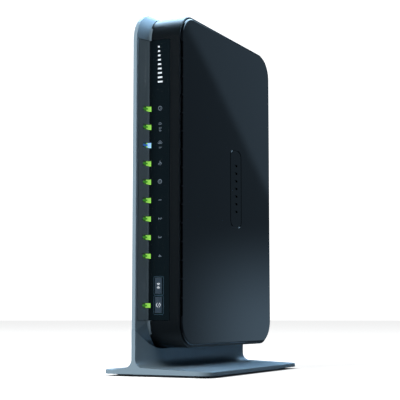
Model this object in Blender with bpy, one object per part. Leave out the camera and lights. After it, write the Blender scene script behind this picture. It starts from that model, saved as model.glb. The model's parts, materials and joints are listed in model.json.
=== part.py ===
"""Upright wireless cable modem on a blade stand.

Every piece is modelled in body coordinates: x runs from the left shell's outer face to the
right, y from the black front face to the rear, and z up from the table. The empty called
"modem" carries all of them, so that the finished part has its origin on the table, in the
middle of its own outline.
"""
import math

import bmesh
import bpy

MM = 0.001
GAP = 0.3 * MM              # clearance between pieces that touch
SLIDE_GAP = 0.25 * MM       # clearance round a piece that slides

# Case
BODY_THICKNESS = 31.0 * MM  # left shell's face to cover's face
BODY_DEPTH = 153.0 * MM
BODY_HEIGHT = 223.0 * MM
BODY_LIFT = 18.3 * MM       # table to the underside of the frame
CORNER_RADIUS = 18.0 * MM
WALL = 2.2 * MM

# Left shell: a flat plate whose front edge stands ahead of the case and flares back into it
SHELL_WALL = 2.8 * MM
FIN_REACH = 10.3 * MM
FIN_RISE = 1.5 * MM         # the plate stands this much above the frame
FIN_DROP = 0.6 * MM         # and this much below it
FIN_RADIUS = 20.0 * MM
FLARE_SLOPE = 0.38          # sideways run of the flare for each unit of depth
FLARE_FILLET = 1.9 * MM
SEAM_DEPTH = 22.3 * MM      # the seam between shell and stand sweeps down over this depth
SEAM_RISE = 12.3 * MM       # and over this height

# Cover
COVER_THICKNESS = 1.2 * MM
COVER_INSET = 1.4 * MM
COVER_ROUND = 0.8 * MM
VENT_COUNT = 15
VENT_PITCH = 12.2 * MM
VENT_RIB = 1.0 * MM
VENT_DEPTH = 1.2 * MM
VENT_WIDTH = 0.9 * MM
VENT_LOWEST = 39.1 * MM     # height of the lowest vent's foot above the table
BADGE_WIDTH = 18.0 * MM
BADGE_HEIGHT = 55.0 * MM
BADGE_SETBACK = 87.3 * MM   # front face to the badge's middle
BADGE_CENTRE_Z = 131.0 * MM
BADGE_RECESS = 0.7 * MM

# Inlay: a smoked L-shaped window on the flare and the front face, between the two corners
INLAY_THICKNESS = 0.8 * MM
INLAY_RIGHT_MARGIN = 8.8 * MM   # from the cover's face
INLAY_WING_SETBACK = 1.9 * MM   # fin's front edge to the inlay's front edge

# Indicators
LIGHT_HEIGHT = 2.9 * MM
LIGHT_WIDTH = 2.2 * MM
LIGHT_PITCH = 12.3 * MM
LIGHT_COUNT = 9
LIGHT_LOWEST_Z = 78.4 * MM
LOWER_LIGHT_Z = 45.9 * MM
LAMP_THICKNESS = 1.2 * MM
LAMP_DEPTH = 1.6 * MM

# Front buttons
BUTTON_WIDTH = 5.3 * MM
BUTTON_HEIGHT = 10.8 * MM
BUTTON_OFFSET = 0.75 * MM       # left of the front face's middle
WIFI_BUTTON_Z = 58.8 * MM
WPS_BUTTON_Z = 46.2 * MM
BUTTON_PROUD = 0.3 * MM
BUTTON_TRAVEL = 0.6 * MM
BUTTON_FLANGE = 1.0 * MM        # width and thickness of the flange that keeps a cap in
SWITCH_SIZE = 6.0 * MM
SWITCH_DEPTH = 3.4 * MM
SWITCH_WELL = 2.6 * MM          # depth of the plunger's well in a switch
PLUNGER_RADIUS = 1.7 * MM
PLUNGER_PLAY = 0.1 * MM         # between a cap and its plunger
BUTTON_BOARD_SETBACK = 10.4 * MM

# Stand
FOOT_WIDTH = 80.5 * MM
FOOT_LEFT_REACH = 23.5 * MM     # foot's left edge to the shell's face
FOOT_EXTRA_DEPTH = 1.0 * MM     # the foot is this much deeper than the case
FOOT_CORNER = 10.0 * MM
FOOT_EDGE = 2.7 * MM            # thickness at the rim
FOOT_CROWN = 4.1 * MM           # thickness beside the blade
FOOT_FILLET = 5.5 * MM
BLADE_WIDTH = 11.2 * MM
BLADE_EASE = 27.3 * MM          # depth over which the blade grows to its full width
PAD_HEIGHT = 1.2 * MM
PAD_RADIUS = 5.0 * MM
PAD_CHAMFER = 0.3 * MM
PAD_INSET = 12.0 * MM
STAND_SCREW_RADIUS = 1.5 * MM
STAND_SCREW_HEAD_RADIUS = 2.8 * MM
STAND_SCREW_HEAD = 2.0 * MM
STAND_COUNTERBORE = 5.0 * MM    # depth of the screw heads' pockets in the foot
STAND_SCREW_FRONT = 45.0 * MM   # case's front face to the front screw
STAND_SCREW_REAR = 33.0 * MM    # case's rear to the rear screw
STAND_BOSS_RADIUS = 3.4 * MM
STAND_BOSS_HEIGHT = 10.0 * MM

# Rear panel and its connectors, heights above the table
PANEL_THICKNESS = 2.0 * MM
PANEL_SETBACK = 0.8 * MM        # behind the frame's rear edge
PANEL_END_GAP = 25.5 * MM       # frame's top and underside to the panel's ends
PANEL_MARGIN = 2.6 * MM
POWER_BUTTON_Z = 53.0 * MM
DC_JACK_Z = 69.0 * MM
COAX_Z = 88.0 * MM
LAN_LOWEST_Z = 108.5 * MM
LAN_PITCH = 16.6 * MM
LAN_COUNT = 4
USB_Z = 183.0 * MM
RESET_Z = 202.0 * MM
SHEET = 0.4 * MM                # folded and drawn steel

JACK_HEIGHT = 13.4 * MM         # off the board
JACK_DEPTH = 19.0 * MM
JACK_MOUTH_WIDTH = 11.8 * MM
JACK_MOUTH_HEIGHT = 7.0 * MM
JACK_MOUTH_DEPTH = 13.5 * MM
JACK_WALL = 1.6 * MM
LATCH_HEIGHT = 2.4 * MM         # room for a plug's latch beside the mouth
LATCH_SETBACK = 3.0 * MM
CONTACT_COUNT = 8
CONTACT_PITCH = 1.02 * MM
CONTACT_WIRE = 0.5 * MM
CONTACT_CARRIER = 1.6 * MM
CONTACT_REACH = 7.5 * MM

COAX_REACH = 9.0 * MM           # the threaded barrel stands this far out of the rear panel
COAX_SHANK = 14.0 * MM          # and runs this far in
COAX_RADIUS = 4.75 * MM
COAX_WALL = 1.5 * MM
COAX_OFF_BOARD = 6.6 * MM
COAX_THREADS = 6
COAX_THREAD_START = 3.2 * MM
COAX_THREAD_DEPTH = 0.35 * MM
COAX_TIP = 0.6 * MM             # plain end beyond the thread
COAX_MOUTH = 1.2 * MM           # the insulator sits this far inside the barrel
COAX_CONTACT_RADIUS = 0.6 * MM
COAX_CONTACT_SETBACK = 2.0 * MM
NUT_FLATS = 11.0 * MM
NUT_THICKNESS = 2.4 * MM

DC_WIDTH = 9.0 * MM
DC_DEPTH = 12.0 * MM
DC_OFF_BOARD = 5.2 * MM
DC_BORE_RADIUS = 3.15 * MM
DC_FLOOR = 2.0 * MM
DC_PIN_RADIUS = 1.05 * MM

USB_WIDTH = 13.1 * MM
USB_HEIGHT = 5.8 * MM
USB_DEPTH = 14.0 * MM
USB_TONGUE = 1.8 * MM
USB_TONGUE_MARGIN = 0.8 * MM
USB_TONGUE_SETBACK = 2.0 * MM

POWER_CAP = 7.0 * MM
POWER_TRAVEL = 1.5 * MM
POWER_PROUD = 2.2 * MM
POWER_STEM = 3.0 * MM           # square stem's side
POWER_STEM_LENGTH = 5.0 * MM
POWER_SWITCH_SIZE = (11.0 * MM, 9.0 * MM, 8.0 * MM)
REAR_BUTTON_OFF_BOARD = 6.0 * MM
RESET_RADIUS = 0.9 * MM
RESET_TRAVEL = 0.5 * MM
RESET_SUNK = 0.6 * MM           # the plunger's tip lies this far inside the pinhole
RESET_LENGTH = 6.4 * MM
RESET_SWITCH_DEPTH = 5.0 * MM

# Main board and what it carries
BOARD_THICKNESS = 1.6 * MM
BOARD_STANDOFF = 3.2 * MM       # inner face of the shell to the board
BOARD_EDGE_GAP = 8.0 * MM
BOARD_BOSS_RADIUS = 3.2 * MM
BOARD_SCREW_RADIUS = 1.3 * MM
BOARD_SCREW_HEAD_RADIUS = 2.4 * MM
BOARD_SCREW_HEAD = 1.6 * MM
BOARD_SCREW_BITE = 2.6 * MM     # screw length beyond the board
BOARD_SCREW_END_GAP = 16.0 * MM
BOARD_SCREW_FRONT = 40.0 * MM   # the middle screw is this far ahead of the other two
BOARD_SCREW_MIDDLE_RISE = 95.0 * MM
TUNER_SIZE = (8.0 * MM, 36.0 * MM, 23.0 * MM)
TUNER_DROP = 13.0 * MM          # coaxial barrel's axis to the can's underside
RADIO_SIZE = (3.0 * MM, 44.0 * MM, 30.0 * MM)
RADIO_FRONT = 26.0 * MM
RADIO_DROP = 65.3 * MM          # case's top to the shield's underside
CHIP_SIZE = 27.0 * MM
CHIP_THICKNESS = 1.8 * MM
CHIP_SETBACK = 60.0 * MM        # case's front face to the chip
CHIP_Z = 138.0 * MM
SINK_OVERHANG = 4.0 * MM
SINK_BASE = 2.0 * MM
SINK_HEIGHT = 9.0 * MM
SINK_FINS = 8
SINK_FIN = 1.2 * MM
CAPACITOR_RADIUS = 5.0 * MM
CAPACITOR_HEIGHT = 14.0 * MM
CAPACITOR_GROOVE = 0.4 * MM
CAPACITOR_FROM_REAR = 35.0 * MM
CAPACITOR_Z = 62.0 * MM
ANTENNA_SIZE = (1.0 * MM, 36.0 * MM, 16.8 * MM)
ANTENNA_OFF_BOARD = 4.0 * MM
ANTENNA_TOP_GAP = 3.2 * MM
FRONT_ANTENNA_Y = 20.0 * MM
REAR_ANTENNA_FROM_REAR = 57.0 * MM

# Worked out from the values above
BODY_TOP = BODY_LIFT + BODY_HEIGHT
FRAME_LEFT_X = SHELL_WALL + GAP
FRAME_RIGHT_X = BODY_THICKNESS - COVER_THICKNESS - GAP
FLARE_ANGLE = math.atan2(1.0, FLARE_SLOPE)
FLARE_END_X = (SHELL_WALL + FLARE_SLOPE * FIN_REACH
               + FLARE_FILLET * math.tan(FLARE_ANGLE / 2))
LIP_DEPTH = WALL + 0.2 * MM
SHELL_BOTTOM = BODY_LIFT - FIN_DROP
SHELL_TOP = BODY_TOP + FIN_RISE
SEAM_END_Y = SEAM_DEPTH - FIN_REACH
INLAY_LOW_Z = BODY_LIFT + CORNER_RADIUS
INLAY_HIGH_Z = BODY_TOP - CORNER_RADIUS
INLAY_RIGHT_X = BODY_THICKNESS - INLAY_RIGHT_MARGIN
BUTTON_CENTRE_X = (FLARE_END_X + INLAY_RIGHT_X) / 2 - BUTTON_OFFSET
CAP_DEPTH = WALL + GAP
FOOT_BOTTOM = PAD_HEIGHT + GAP
FOOT_DEPTH = BODY_DEPTH + FOOT_EXTRA_DEPTH
STAND_SCREW_X = (FRAME_LEFT_X + BLADE_WIDTH) / 2
STAND_SCREW_SETBACKS = (STAND_SCREW_FRONT, BODY_DEPTH - STAND_SCREW_REAR)
BOARD_LEFT_X = SHELL_WALL + BOARD_STANDOFF
BOARD_RIGHT_X = BOARD_LEFT_X + BOARD_THICKNESS
ON_BOARD_X = BOARD_RIGHT_X + GAP
BOARD_FRONT_Y = BOARD_EDGE_GAP
BOARD_REAR_Y = BODY_DEPTH - BOARD_EDGE_GAP
BOARD_SCREW_LENGTH = BOARD_THICKNESS + GAP + BOARD_SCREW_BITE
PANEL_REAR_Y = BODY_DEPTH - PANEL_SETBACK
PANEL_FRONT_Y = PANEL_REAR_Y - PANEL_THICKNESS
PANEL_LEFT_X = FRAME_LEFT_X + PANEL_MARGIN
PANEL_RIGHT_X = FRAME_RIGHT_X - PANEL_MARGIN
PANEL_LOW_Z = BODY_LIFT + PANEL_END_GAP
PANEL_HIGH_Z = BODY_TOP - PANEL_END_GAP
COAX_X = ON_BOARD_X + COAX_OFF_BOARD
DC_X = ON_BOARD_X + DC_OFF_BOARD
REAR_BUTTON_X = ON_BOARD_X + REAR_BUTTON_OFF_BOARD
OVERALL_DEPTH = FIN_REACH + PANEL_REAR_Y + COAX_REACH
LIGHT_HEIGHTS = [LIGHT_LOWEST_Z + LIGHT_PITCH * step for step in range(LIGHT_COUNT)]
LAN_HEIGHTS = [LAN_LOWEST_Z + LAN_PITCH * index for index in range(LAN_COUNT)]
ARC_STEPS = 6
OUTLINE_STEPS = 12              # in the case's and the shell's large corners
ROUND_SIDES = 24
SMALL_SIDES = 16
BEYOND = 5.0 * MM               # how far a cutter reaches past what it cuts
SAME_PLACE = 0.01 * MM          # points nearer than this share a plane
SHARP_ANGLE = math.radians(40)

MATERIALS = {
    # name: (colour, roughness, metallic)
    "silver_paint": ((0.22, 0.30, 0.36), 0.45, 0.4),
    "satin_black": ((0.009, 0.012, 0.015), 0.35, 0.0),
    "gloss_black": ((0.010, 0.013, 0.018), 0.08, 0.0),
    "smoked_clear": ((0.014, 0.020, 0.026), 0.06, 0.0),
    "button_grey": ((0.030, 0.042, 0.060), 0.35, 0.0),
    "rubber": ((0.02, 0.02, 0.02), 0.9, 0.0),
    "light_guide": ((0.30, 0.60, 0.10), 0.15, 0.0),
    "board_green": ((0.02, 0.09, 0.04), 0.5, 0.0),
    "white_plastic": ((0.75, 0.75, 0.72), 0.4, 0.0),
    "chip_black": ((0.012, 0.012, 0.012), 0.5, 0.0),
    "tinned_steel": ((0.55, 0.56, 0.57), 0.3, 1.0),
    "nickel": ((0.62, 0.60, 0.55), 0.25, 1.0),
    "gold": ((0.83, 0.60, 0.22), 0.25, 1.0),
    "aluminium": ((0.45, 0.46, 0.48), 0.4, 1.0),
}


# ---------------------------------------------------------------- shared tools

def clear_scene():
    for old in list(bpy.data.objects):
        bpy.data.objects.remove(old, do_unlink=True)


def material(name):
    """One Principled material for each named finish."""
    if name in bpy.data.materials:
        return bpy.data.materials[name]
    colour, roughness, metallic = MATERIALS[name]
    made = bpy.data.materials.new(name)
    made.use_nodes = True
    shader = made.node_tree.nodes["Principled BSDF"]
    shader.inputs["Base Color"].default_value = (*colour, 1.0)
    shader.inputs["Roughness"].default_value = roughness
    shader.inputs["Metallic"].default_value = metallic
    made.diffuse_color = (*colour, 1.0)
    return made


def add_object(name, mesh, finish, parent, location=(0.0, 0.0, 0.0)):
    """Puts a mesh in the scene as the named piece."""
    piece = bpy.data.objects.new(name, mesh)
    bpy.context.collection.objects.link(piece)
    piece.parent = parent
    piece.location = location
    if finish and not mesh.materials:
        mesh.materials.append(material(finish))
    return piece


def mesh_from(bm, name):
    bmesh.ops.recalc_face_normals(bm, faces=bm.faces)
    mesh = bpy.data.meshes.new(name)
    bm.to_mesh(mesh)
    bm.free()
    return mesh


def prism_mesh(name, outline, axis, start, end):
    """Extrudes a closed 2-D outline along x, y or z; the outline's two numbers are the
    other two coordinates in x, y, z order."""
    order = "xyz".index(axis)

    def point(pair, along):
        values = list(pair)
        values.insert(order, along)
        return values

    bm = bmesh.new()
    low = [bm.verts.new(point(pair, start)) for pair in outline]
    high = [bm.verts.new(point(pair, end)) for pair in outline]
    bm.faces.new(low)
    bm.faces.new(high)
    for here in range(len(outline)):
        there = (here + 1) % len(outline)
        bm.faces.new((low[here], low[there], high[there], high[here]))
    return mesh_from(bm, name)


def box_mesh(name, low, high):
    outline = [(low[0], low[1]), (high[0], low[1]), (high[0], high[1]), (low[0], high[1])]
    return prism_mesh(name, outline, "z", low[2], high[2])


def lofted_mesh(name, rings):
    """Joins closed rings that have equal numbers of points, and caps both ends."""
    bm = bmesh.new()
    rings = [[bm.verts.new(point) for point in ring] for ring in rings]
    bm.faces.new(rings[0])
    bm.faces.new(rings[-1])
    for front, back in zip(rings, rings[1:]):
        for here in range(len(front)):
            there = (here + 1) % len(front)
            bm.faces.new((front[here], front[there], back[there], back[here]))
    bmesh.ops.recalc_face_normals(bm, faces=bm.faces)
    bmesh.ops.triangulate(bm, faces=bm.faces)
    return mesh_from(bm, name)


def turned_mesh(name, profile, centre, axis="y", sides=ROUND_SIDES):
    """Turns (radius, distance) pairs about a line through centre. A pair with radius 0 closes
    an end; a profile without one is a ring, whose last pair joins its first."""
    along = "xyz".index(axis)
    across = [index for index in range(3) if index != along]
    bm = bmesh.new()
    rings = []
    for radius, distance in profile:
        ring = []
        for step in range(sides if radius > 0 else 1):
            angle = 2 * math.pi * step / sides
            point = list(centre)
            point[along] += distance
            point[across[0]] += radius * math.cos(angle)
            point[across[1]] += radius * math.sin(angle)
            ring.append(bm.verts.new(point))
        rings.append(ring)
    is_ring = all(len(ring) > 1 for ring in rings)
    pairs = list(zip(rings, rings[1:]))
    if is_ring:
        pairs.append((rings[-1], rings[0]))
    for lower, upper in pairs:
        for step in range(sides):
            after = (step + 1) % sides
            corners = [lower[step % len(lower)], lower[after % len(lower)],
                       upper[after % len(upper)], upper[step % len(upper)]]
            bm.faces.new(list(dict.fromkeys(corners)))
    mesh = mesh_from(bm, name)
    mesh.shade_smooth()
    mesh.set_sharp_from_angle(angle=SHARP_ANGLE)
    return mesh


def arc(centre, radius, start, end, steps=ARC_STEPS):
    """Points on an arc, in degrees, both ends included."""
    points = []
    for step in range(steps + 1):
        angle = math.radians(start + (end - start) * step / steps)
        points.append((centre[0] + radius * math.cos(angle),
                       centre[1] + radius * math.sin(angle)))
    return points


def rounded_rectangle(low, high, radius, steps=ARC_STEPS):
    corners = [((high[0] - radius, high[1] - radius), 0),
               ((low[0] + radius, high[1] - radius), 90),
               ((low[0] + radius, low[1] + radius), 180),
               ((high[0] - radius, low[1] + radius), 270)]
    points = []
    for centre, start in corners:
        points += arc(centre, radius, start, start + 90, steps)
    return points


def case_outline(inset):
    """The case's rounded outline in (y, z), drawn in by inset; a negative inset grows it."""
    return rounded_rectangle((inset, BODY_LIFT + inset), (BODY_DEPTH - inset, BODY_TOP - inset),
                             CORNER_RADIUS - inset, OUTLINE_STEPS)


def combine(piece, others, operation):
    """Applies one exact Boolean for each other object, then removes those objects."""
    for other in others:
        modifier = piece.modifiers.new(operation.lower(), "BOOLEAN")
        modifier.operation = operation
        modifier.solver = "EXACT"
        modifier.object = other
    depsgraph = bpy.context.evaluated_depsgraph_get()
    mesh = bpy.data.meshes.new_from_object(piece.evaluated_get(depsgraph))
    piece.modifiers.clear()
    piece.data = mesh
    for other in others:
        bpy.data.objects.remove(other, do_unlink=True)
    return piece


def cutter(mesh, parent):
    return add_object("cutter", mesh, None, parent)


def box_cutter(low, high, parent):
    return cutter(box_mesh("cutter", low, high), parent)


def round_cutter(radius, centre, start, end, axis, parent):
    profile = [(0, start), (radius, start), (radius, end), (0, end)]
    return cutter(turned_mesh("cutter", profile, centre, axis), parent)


# ---------------------------------------------------------------- case

def fillet_points(depth):
    """The fillet between the flare and the front face, seen from above and sunk by depth."""
    centre = (FLARE_END_X, -FLARE_FILLET)
    return arc(centre, FLARE_FILLET + depth, 90 + math.degrees(FLARE_ANGLE), 90)


def flare_point(setback, depth):
    """A point on the flare, set back from the fin's edge and sunk into the material."""
    return (SHELL_WALL + FLARE_SLOPE * setback - math.sin(FLARE_ANGLE) * depth,
            -FIN_REACH + setback + math.cos(FLARE_ANGLE) * depth)


def seam_z(y):
    """Height of the seam between shell and stand: level under the case, then sweeping up to
    the fin's front edge."""
    share = max(0.0, (SEAM_END_Y - y) / SEAM_DEPTH)
    return SHELL_BOTTOM + SEAM_RISE * share * share


def seam_depths():
    """Depths of the seam's own points, from the case's underside to the fin's edge."""
    return [SEAM_END_Y - SEAM_DEPTH * step / OUTLINE_STEPS for step in range(OUTLINE_STEPS + 1)]


def shell_outline(share):
    """The shell's outline in (y, z). Share 0 is the plate's own face; share 1 is where the
    flare meets the case, and follows the case's front corners."""
    front = -FIN_REACH * (1 - share)
    top = SHELL_TOP - FIN_RISE * share
    radius = FIN_RADIUS + (CORNER_RADIUS - FIN_RADIUS) * share
    case_corner = arc((CORNER_RADIUS, BODY_LIFT + CORNER_RADIUS), CORNER_RADIUS, 270, 180,
                      OUTLINE_STEPS)
    points = []
    for y, (case_y, case_z) in zip(seam_depths(), case_corner):
        points.append((y + (case_y - y) * share, seam_z(y) + (case_z - seam_z(y)) * share))
    points += arc((front + radius, top - radius), radius, 180, 90, OUTLINE_STEPS)
    points += arc((BODY_DEPTH - radius, top - radius), radius, 90, 0, OUTLINE_STEPS)
    points += arc((BODY_DEPTH - CORNER_RADIUS, SHELL_BOTTOM + CORNER_RADIUS), CORNER_RADIUS,
                  0, -90, OUTLINE_STEPS)
    return points


def shell_room_outline():
    """The space inside the shell in (y, z): the case grown by the gap, from behind the front
    lip to the rear, and open under the case."""
    reach = CORNER_RADIUS + GAP
    front = CORNER_RADIUS
    rear = BODY_DEPTH - CORNER_RADIUS
    lip = math.degrees(math.acos((CORNER_RADIUS - LIP_DEPTH) / reach))
    seam = math.degrees(math.acos((CORNER_RADIUS - SEAM_END_Y) / reach))
    return [*arc((rear, INLAY_HIGH_Z), reach, 0, 90, OUTLINE_STEPS),
            *arc((front, INLAY_HIGH_Z), reach, 90, 180 - lip, OUTLINE_STEPS),
            *arc((front, INLAY_LOW_Z), reach, 180 + lip, 180 + seam, OUTLINE_STEPS),
            (SEAM_END_Y, BODY_LIFT - BEYOND), (rear + reach, BODY_LIFT - BEYOND)]


def inlay_recess(parent):
    """The shallow step that the inlay lies in, cut from the flare and the front face."""
    sink = INLAY_THICKNESS + GAP
    setback = INLAY_WING_SETBACK - GAP
    right = INLAY_RIGHT_X + GAP
    outline = [flare_point(setback, -FIN_REACH), flare_point(setback, sink),
               *fillet_points(sink), (right, sink), (right, -FIN_REACH)]
    mesh = prism_mesh("cutter", outline, "z", INLAY_LOW_Z - GAP, INLAY_HIGH_Z + GAP)
    return cutter(mesh, parent)


def light_windows(parent):
    """A slot for each light guide finger, at the corner between flare and front face."""
    slots = []
    left = FLARE_END_X - LIGHT_WIDTH - GAP
    right = FLARE_END_X + GAP
    half = LIGHT_HEIGHT / 2 + GAP
    for height in [LOWER_LIGHT_Z, *LIGHT_HEIGHTS]:
        low = (left, -FIN_REACH / 2, height - half)
        high = (right, LIP_DEPTH + WALL, height + half)
        slots.append(box_cutter(low, high, parent))
    return slots


def board_screw_places():
    """Board screws as (y, z): near the top, the middle and the foot of the board."""
    middle_y = BODY_DEPTH / 2
    return [(middle_y, BODY_TOP - BOARD_SCREW_END_GAP),
            (middle_y - BOARD_SCREW_FRONT, BODY_LIFT + BOARD_SCREW_MIDDLE_RISE),
            (middle_y, BODY_LIFT + BOARD_SCREW_END_GAP)]


def make_left_shell(parent):
    """A plate whose front edge flares back into the case, with bosses for the board."""
    stations = [(0, 0), (SHELL_WALL, 0)]
    stations += [(x, 1 + y / FIN_REACH) for x, y in fillet_points(0)]
    rings = [[(x, y, z) for y, z in shell_outline(share)] for x, share in stations]
    shell = add_object("left_shell", lofted_mesh("left_shell", rings), "silver_paint", parent)
    room = prism_mesh("room", shell_room_outline(), "x", SHELL_WALL, BODY_THICKNESS)
    combine(shell, [cutter(room, parent), inlay_recess(parent), *light_windows(parent)],
            "DIFFERENCE")
    bosses = []
    holes = []
    for y, z in board_screw_places():
        bosses.append(round_cutter(BOARD_BOSS_RADIUS, (0, y, z), SHELL_WALL - GAP,
                                   BOARD_LEFT_X - GAP, "x", parent))
        holes.append(round_cutter(BOARD_SCREW_RADIUS + SLIDE_GAP, (0, y, z), SHELL_WALL / 2,
                                  BOARD_LEFT_X + MM, "x", parent))
    combine(shell, bosses, "UNION")
    return combine(shell, holes, "DIFFERENCE")


def button_hole(height, depth_start, depth_end, parent):
    half_width = BUTTON_WIDTH / 2 + SLIDE_GAP
    half_height = BUTTON_HEIGHT / 2 + SLIDE_GAP
    low = (BUTTON_CENTRE_X - half_width, depth_start, height - half_height)
    high = (BUTTON_CENTRE_X + half_width, depth_end, height + half_height)
    return box_cutter(low, high, parent)


def make_mid_frame(parent):
    """The band round the case, with its front face, its rear window and two screw bosses."""
    frame = add_object("mid_frame", prism_mesh("mid_frame", case_outline(0), "x", FRAME_LEFT_X,
                                               FRAME_RIGHT_X), "satin_black", parent)
    hollow = cutter(prism_mesh("hollow", case_outline(WALL), "x", -BEYOND,
                               BODY_THICKNESS + BEYOND), parent)
    combine(frame, [hollow], "DIFFERENCE")
    bosses = []
    holes = []
    for setback in STAND_SCREW_SETBACKS:
        foot = (STAND_SCREW_X, setback, BODY_LIFT)
        bosses.append(round_cutter(STAND_BOSS_RADIUS, foot, WALL / 2, STAND_BOSS_HEIGHT, "z",
                                   parent))
        holes.append(round_cutter(STAND_SCREW_RADIUS + SLIDE_GAP, foot, -BEYOND,
                                  STAND_BOSS_HEIGHT - WALL, "z", parent))
    combine(frame, bosses, "UNION")
    flare_notch = box_cutter((0, -BEYOND, BODY_LIFT - BEYOND),
                             (FLARE_END_X + GAP, LIP_DEPTH + GAP, BODY_TOP + BEYOND), parent)
    panel_window = box_cutter((PANEL_LEFT_X - GAP, BODY_DEPTH - 2 * WALL, PANEL_LOW_Z - GAP),
                              (PANEL_RIGHT_X + GAP, BODY_DEPTH + BEYOND, PANEL_HIGH_Z + GAP),
                              parent)
    openings = [button_hole(height, -BEYOND, 2 * WALL, parent)
                for height in (WIFI_BUTTON_Z, WPS_BUTTON_Z)]
    return combine(frame, [*holes, flare_notch, inlay_recess(parent), panel_window, *openings],
                   "DIFFERENCE")


def badge_outline(grow):
    low = (BADGE_SETBACK - BADGE_WIDTH / 2 - grow, BADGE_CENTRE_Z - BADGE_HEIGHT / 2 - grow)
    high = (BADGE_SETBACK + BADGE_WIDTH / 2 + grow, BADGE_CENTRE_Z + BADGE_HEIGHT / 2 + grow)
    return rounded_rectangle(low, high, BADGE_WIDTH / 4 + grow)


def rounded_plate_mesh(name, outline, start, end, rounding):
    """A plate extruded along x, with the edge of its outer face rounded."""
    mesh = prism_mesh(name, outline, "x", start, end)
    bm = bmesh.new()
    bm.from_mesh(mesh)
    rim = [edge for edge in bm.edges
           if all(abs(vert.co.x - end) < SAME_PLACE for vert in edge.verts)]
    bmesh.ops.bevel(bm, geom=rim, offset=rounding, segments=3, affect="EDGES", profile=0.5)
    bm.to_mesh(mesh)
    bm.free()
    return mesh


def make_side_cover(parent):
    """The glossy cover: vents in its front edge and a recess for the badge."""
    inner_x = BODY_THICKNESS - COVER_THICKNESS
    mesh = rounded_plate_mesh("side_cover", case_outline(COVER_INSET), inner_x, BODY_THICKNESS,
                              COVER_ROUND)
    cover = add_object("side_cover", mesh, "gloss_black", parent)
    cuts = []
    for index in range(VENT_COUNT):
        foot = VENT_LOWEST + index * VENT_PITCH
        cuts.append(box_cutter((inner_x - MM, COVER_INSET - MM, foot),
                               (inner_x + VENT_WIDTH, COVER_INSET + VENT_DEPTH,
                                foot + VENT_PITCH - VENT_RIB), parent))
    recess = prism_mesh("recess", badge_outline(GAP), "x", BODY_THICKNESS - BADGE_RECESS,
                        BODY_THICKNESS + MM)
    return combine(cover, [*cuts, cutter(recess, parent)], "DIFFERENCE")


def make_cover_badge(parent):
    mesh = prism_mesh("cover_badge", badge_outline(0), "x", BODY_THICKNESS - BADGE_RECESS + GAP,
                      BODY_THICKNESS)
    return add_object("cover_badge", mesh, "gloss_black", parent)


def make_front_inlay(parent):
    outline = [flare_point(INLAY_WING_SETBACK, 0), *fillet_points(0), (INLAY_RIGHT_X, 0),
               (INLAY_RIGHT_X, INLAY_THICKNESS), *reversed(fillet_points(INLAY_THICKNESS)),
               flare_point(INLAY_WING_SETBACK, INLAY_THICKNESS)]
    mesh = prism_mesh("front_inlay", outline, "z", INLAY_LOW_Z, INLAY_HIGH_Z)
    inlay = add_object("front_inlay", mesh, "smoked_clear", parent)
    holes = [button_hole(height, -WALL, WALL, parent) for height in (WIFI_BUTTON_Z, WPS_BUTTON_Z)]
    return combine(inlay, [*holes, *light_windows(parent)], "DIFFERENCE")


# ---------------------------------------------------------------- stand

def blade_right_x(y):
    """The blade is as thin as the fin in front and eases out to its full width."""
    share = min(1.0, (y + FIN_REACH) / BLADE_EASE)
    return SHELL_WALL + (BLADE_WIDTH - SHELL_WALL) * math.sin(share * math.pi / 2)


def stand_stations():
    """Depths at which the stand's section is drawn: close together round its corners, and at
    every point of the seam above it."""
    stations = {round(y, 6) for y in seam_depths()}
    for step in range(ARC_STEPS + 1):
        inset = FOOT_CORNER * (1 - math.cos(math.pi / 2 * step / ARC_STEPS))
        stations.add(round(-FIN_REACH + inset, 6))
        stations.add(round(-FIN_REACH + FOOT_DEPTH - inset, 6))
    stations.add(round(-FIN_REACH + BLADE_EASE, 6))
    return sorted(stations)


def corner_inset(y):
    """How far the foot's side edge draws in at its rounded corners."""
    from_end = max(0.0, min(y + FIN_REACH, FOOT_DEPTH - FIN_REACH - y))
    reach = FOOT_CORNER - min(from_end, FOOT_CORNER)
    return FOOT_CORNER - math.sqrt(FOOT_CORNER ** 2 - reach ** 2)


def stand_section(y):
    """The foot, both fillets and the blade as one closed outline across the depth."""
    inset = corner_inset(y)
    left = -FOOT_LEFT_REACH + inset
    right = FOOT_WIDTH - FOOT_LEFT_REACH - inset
    rim = FOOT_BOTTOM + FOOT_EDGE
    fillet_z = FOOT_BOTTOM + FOOT_CROWN + FOOT_FILLET
    blade = blade_right_x(y)
    right_fillet = arc((blade + FOOT_FILLET, fillet_z), FOOT_FILLET, 270, 180)
    left_fillet = arc((-FOOT_FILLET, fillet_z), FOOT_FILLET, 360, 270)
    top = seam_z(y) - GAP
    pairs = [(left, FOOT_BOTTOM), (right, FOOT_BOTTOM), (right, rim), *right_fillet,
             (blade, top), (0, top), *left_fillet, (left, rim)]
    return [(x, y, z) for x, z in pairs]


def make_stand(parent):
    rings = [stand_section(y) for y in stand_stations()]
    stand = add_object("stand", lofted_mesh("stand", rings), "silver_paint", parent)
    hole = STAND_SCREW_RADIUS + SLIDE_GAP
    counterbore = STAND_SCREW_HEAD_RADIUS + GAP
    step = FOOT_BOTTOM + STAND_COUNTERBORE
    profile = [(0, 0), (counterbore, 0), (counterbore, step), (hole, step), (hole, BODY_LIFT),
               (0, BODY_LIFT)]
    holes = [cutter(turned_mesh("cutter", profile, (STAND_SCREW_X, setback, 0), "z"), parent)
             for setback in STAND_SCREW_SETBACKS]
    return combine(stand, holes, "DIFFERENCE")


def screw_mesh(head_radius, head, radius, length, axis, centre):
    """A screw whose head sits on the plane through centre and whose shank runs along axis;
    a negative length points the other way."""
    away = math.copysign(1.0, length)
    profile = [(0, -away * head), (head_radius, -away * head), (head_radius, 0), (radius, 0),
               (radius, length - away * radius), (0, length)]
    return turned_mesh("screw", profile, centre, axis, SMALL_SIDES)


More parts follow.
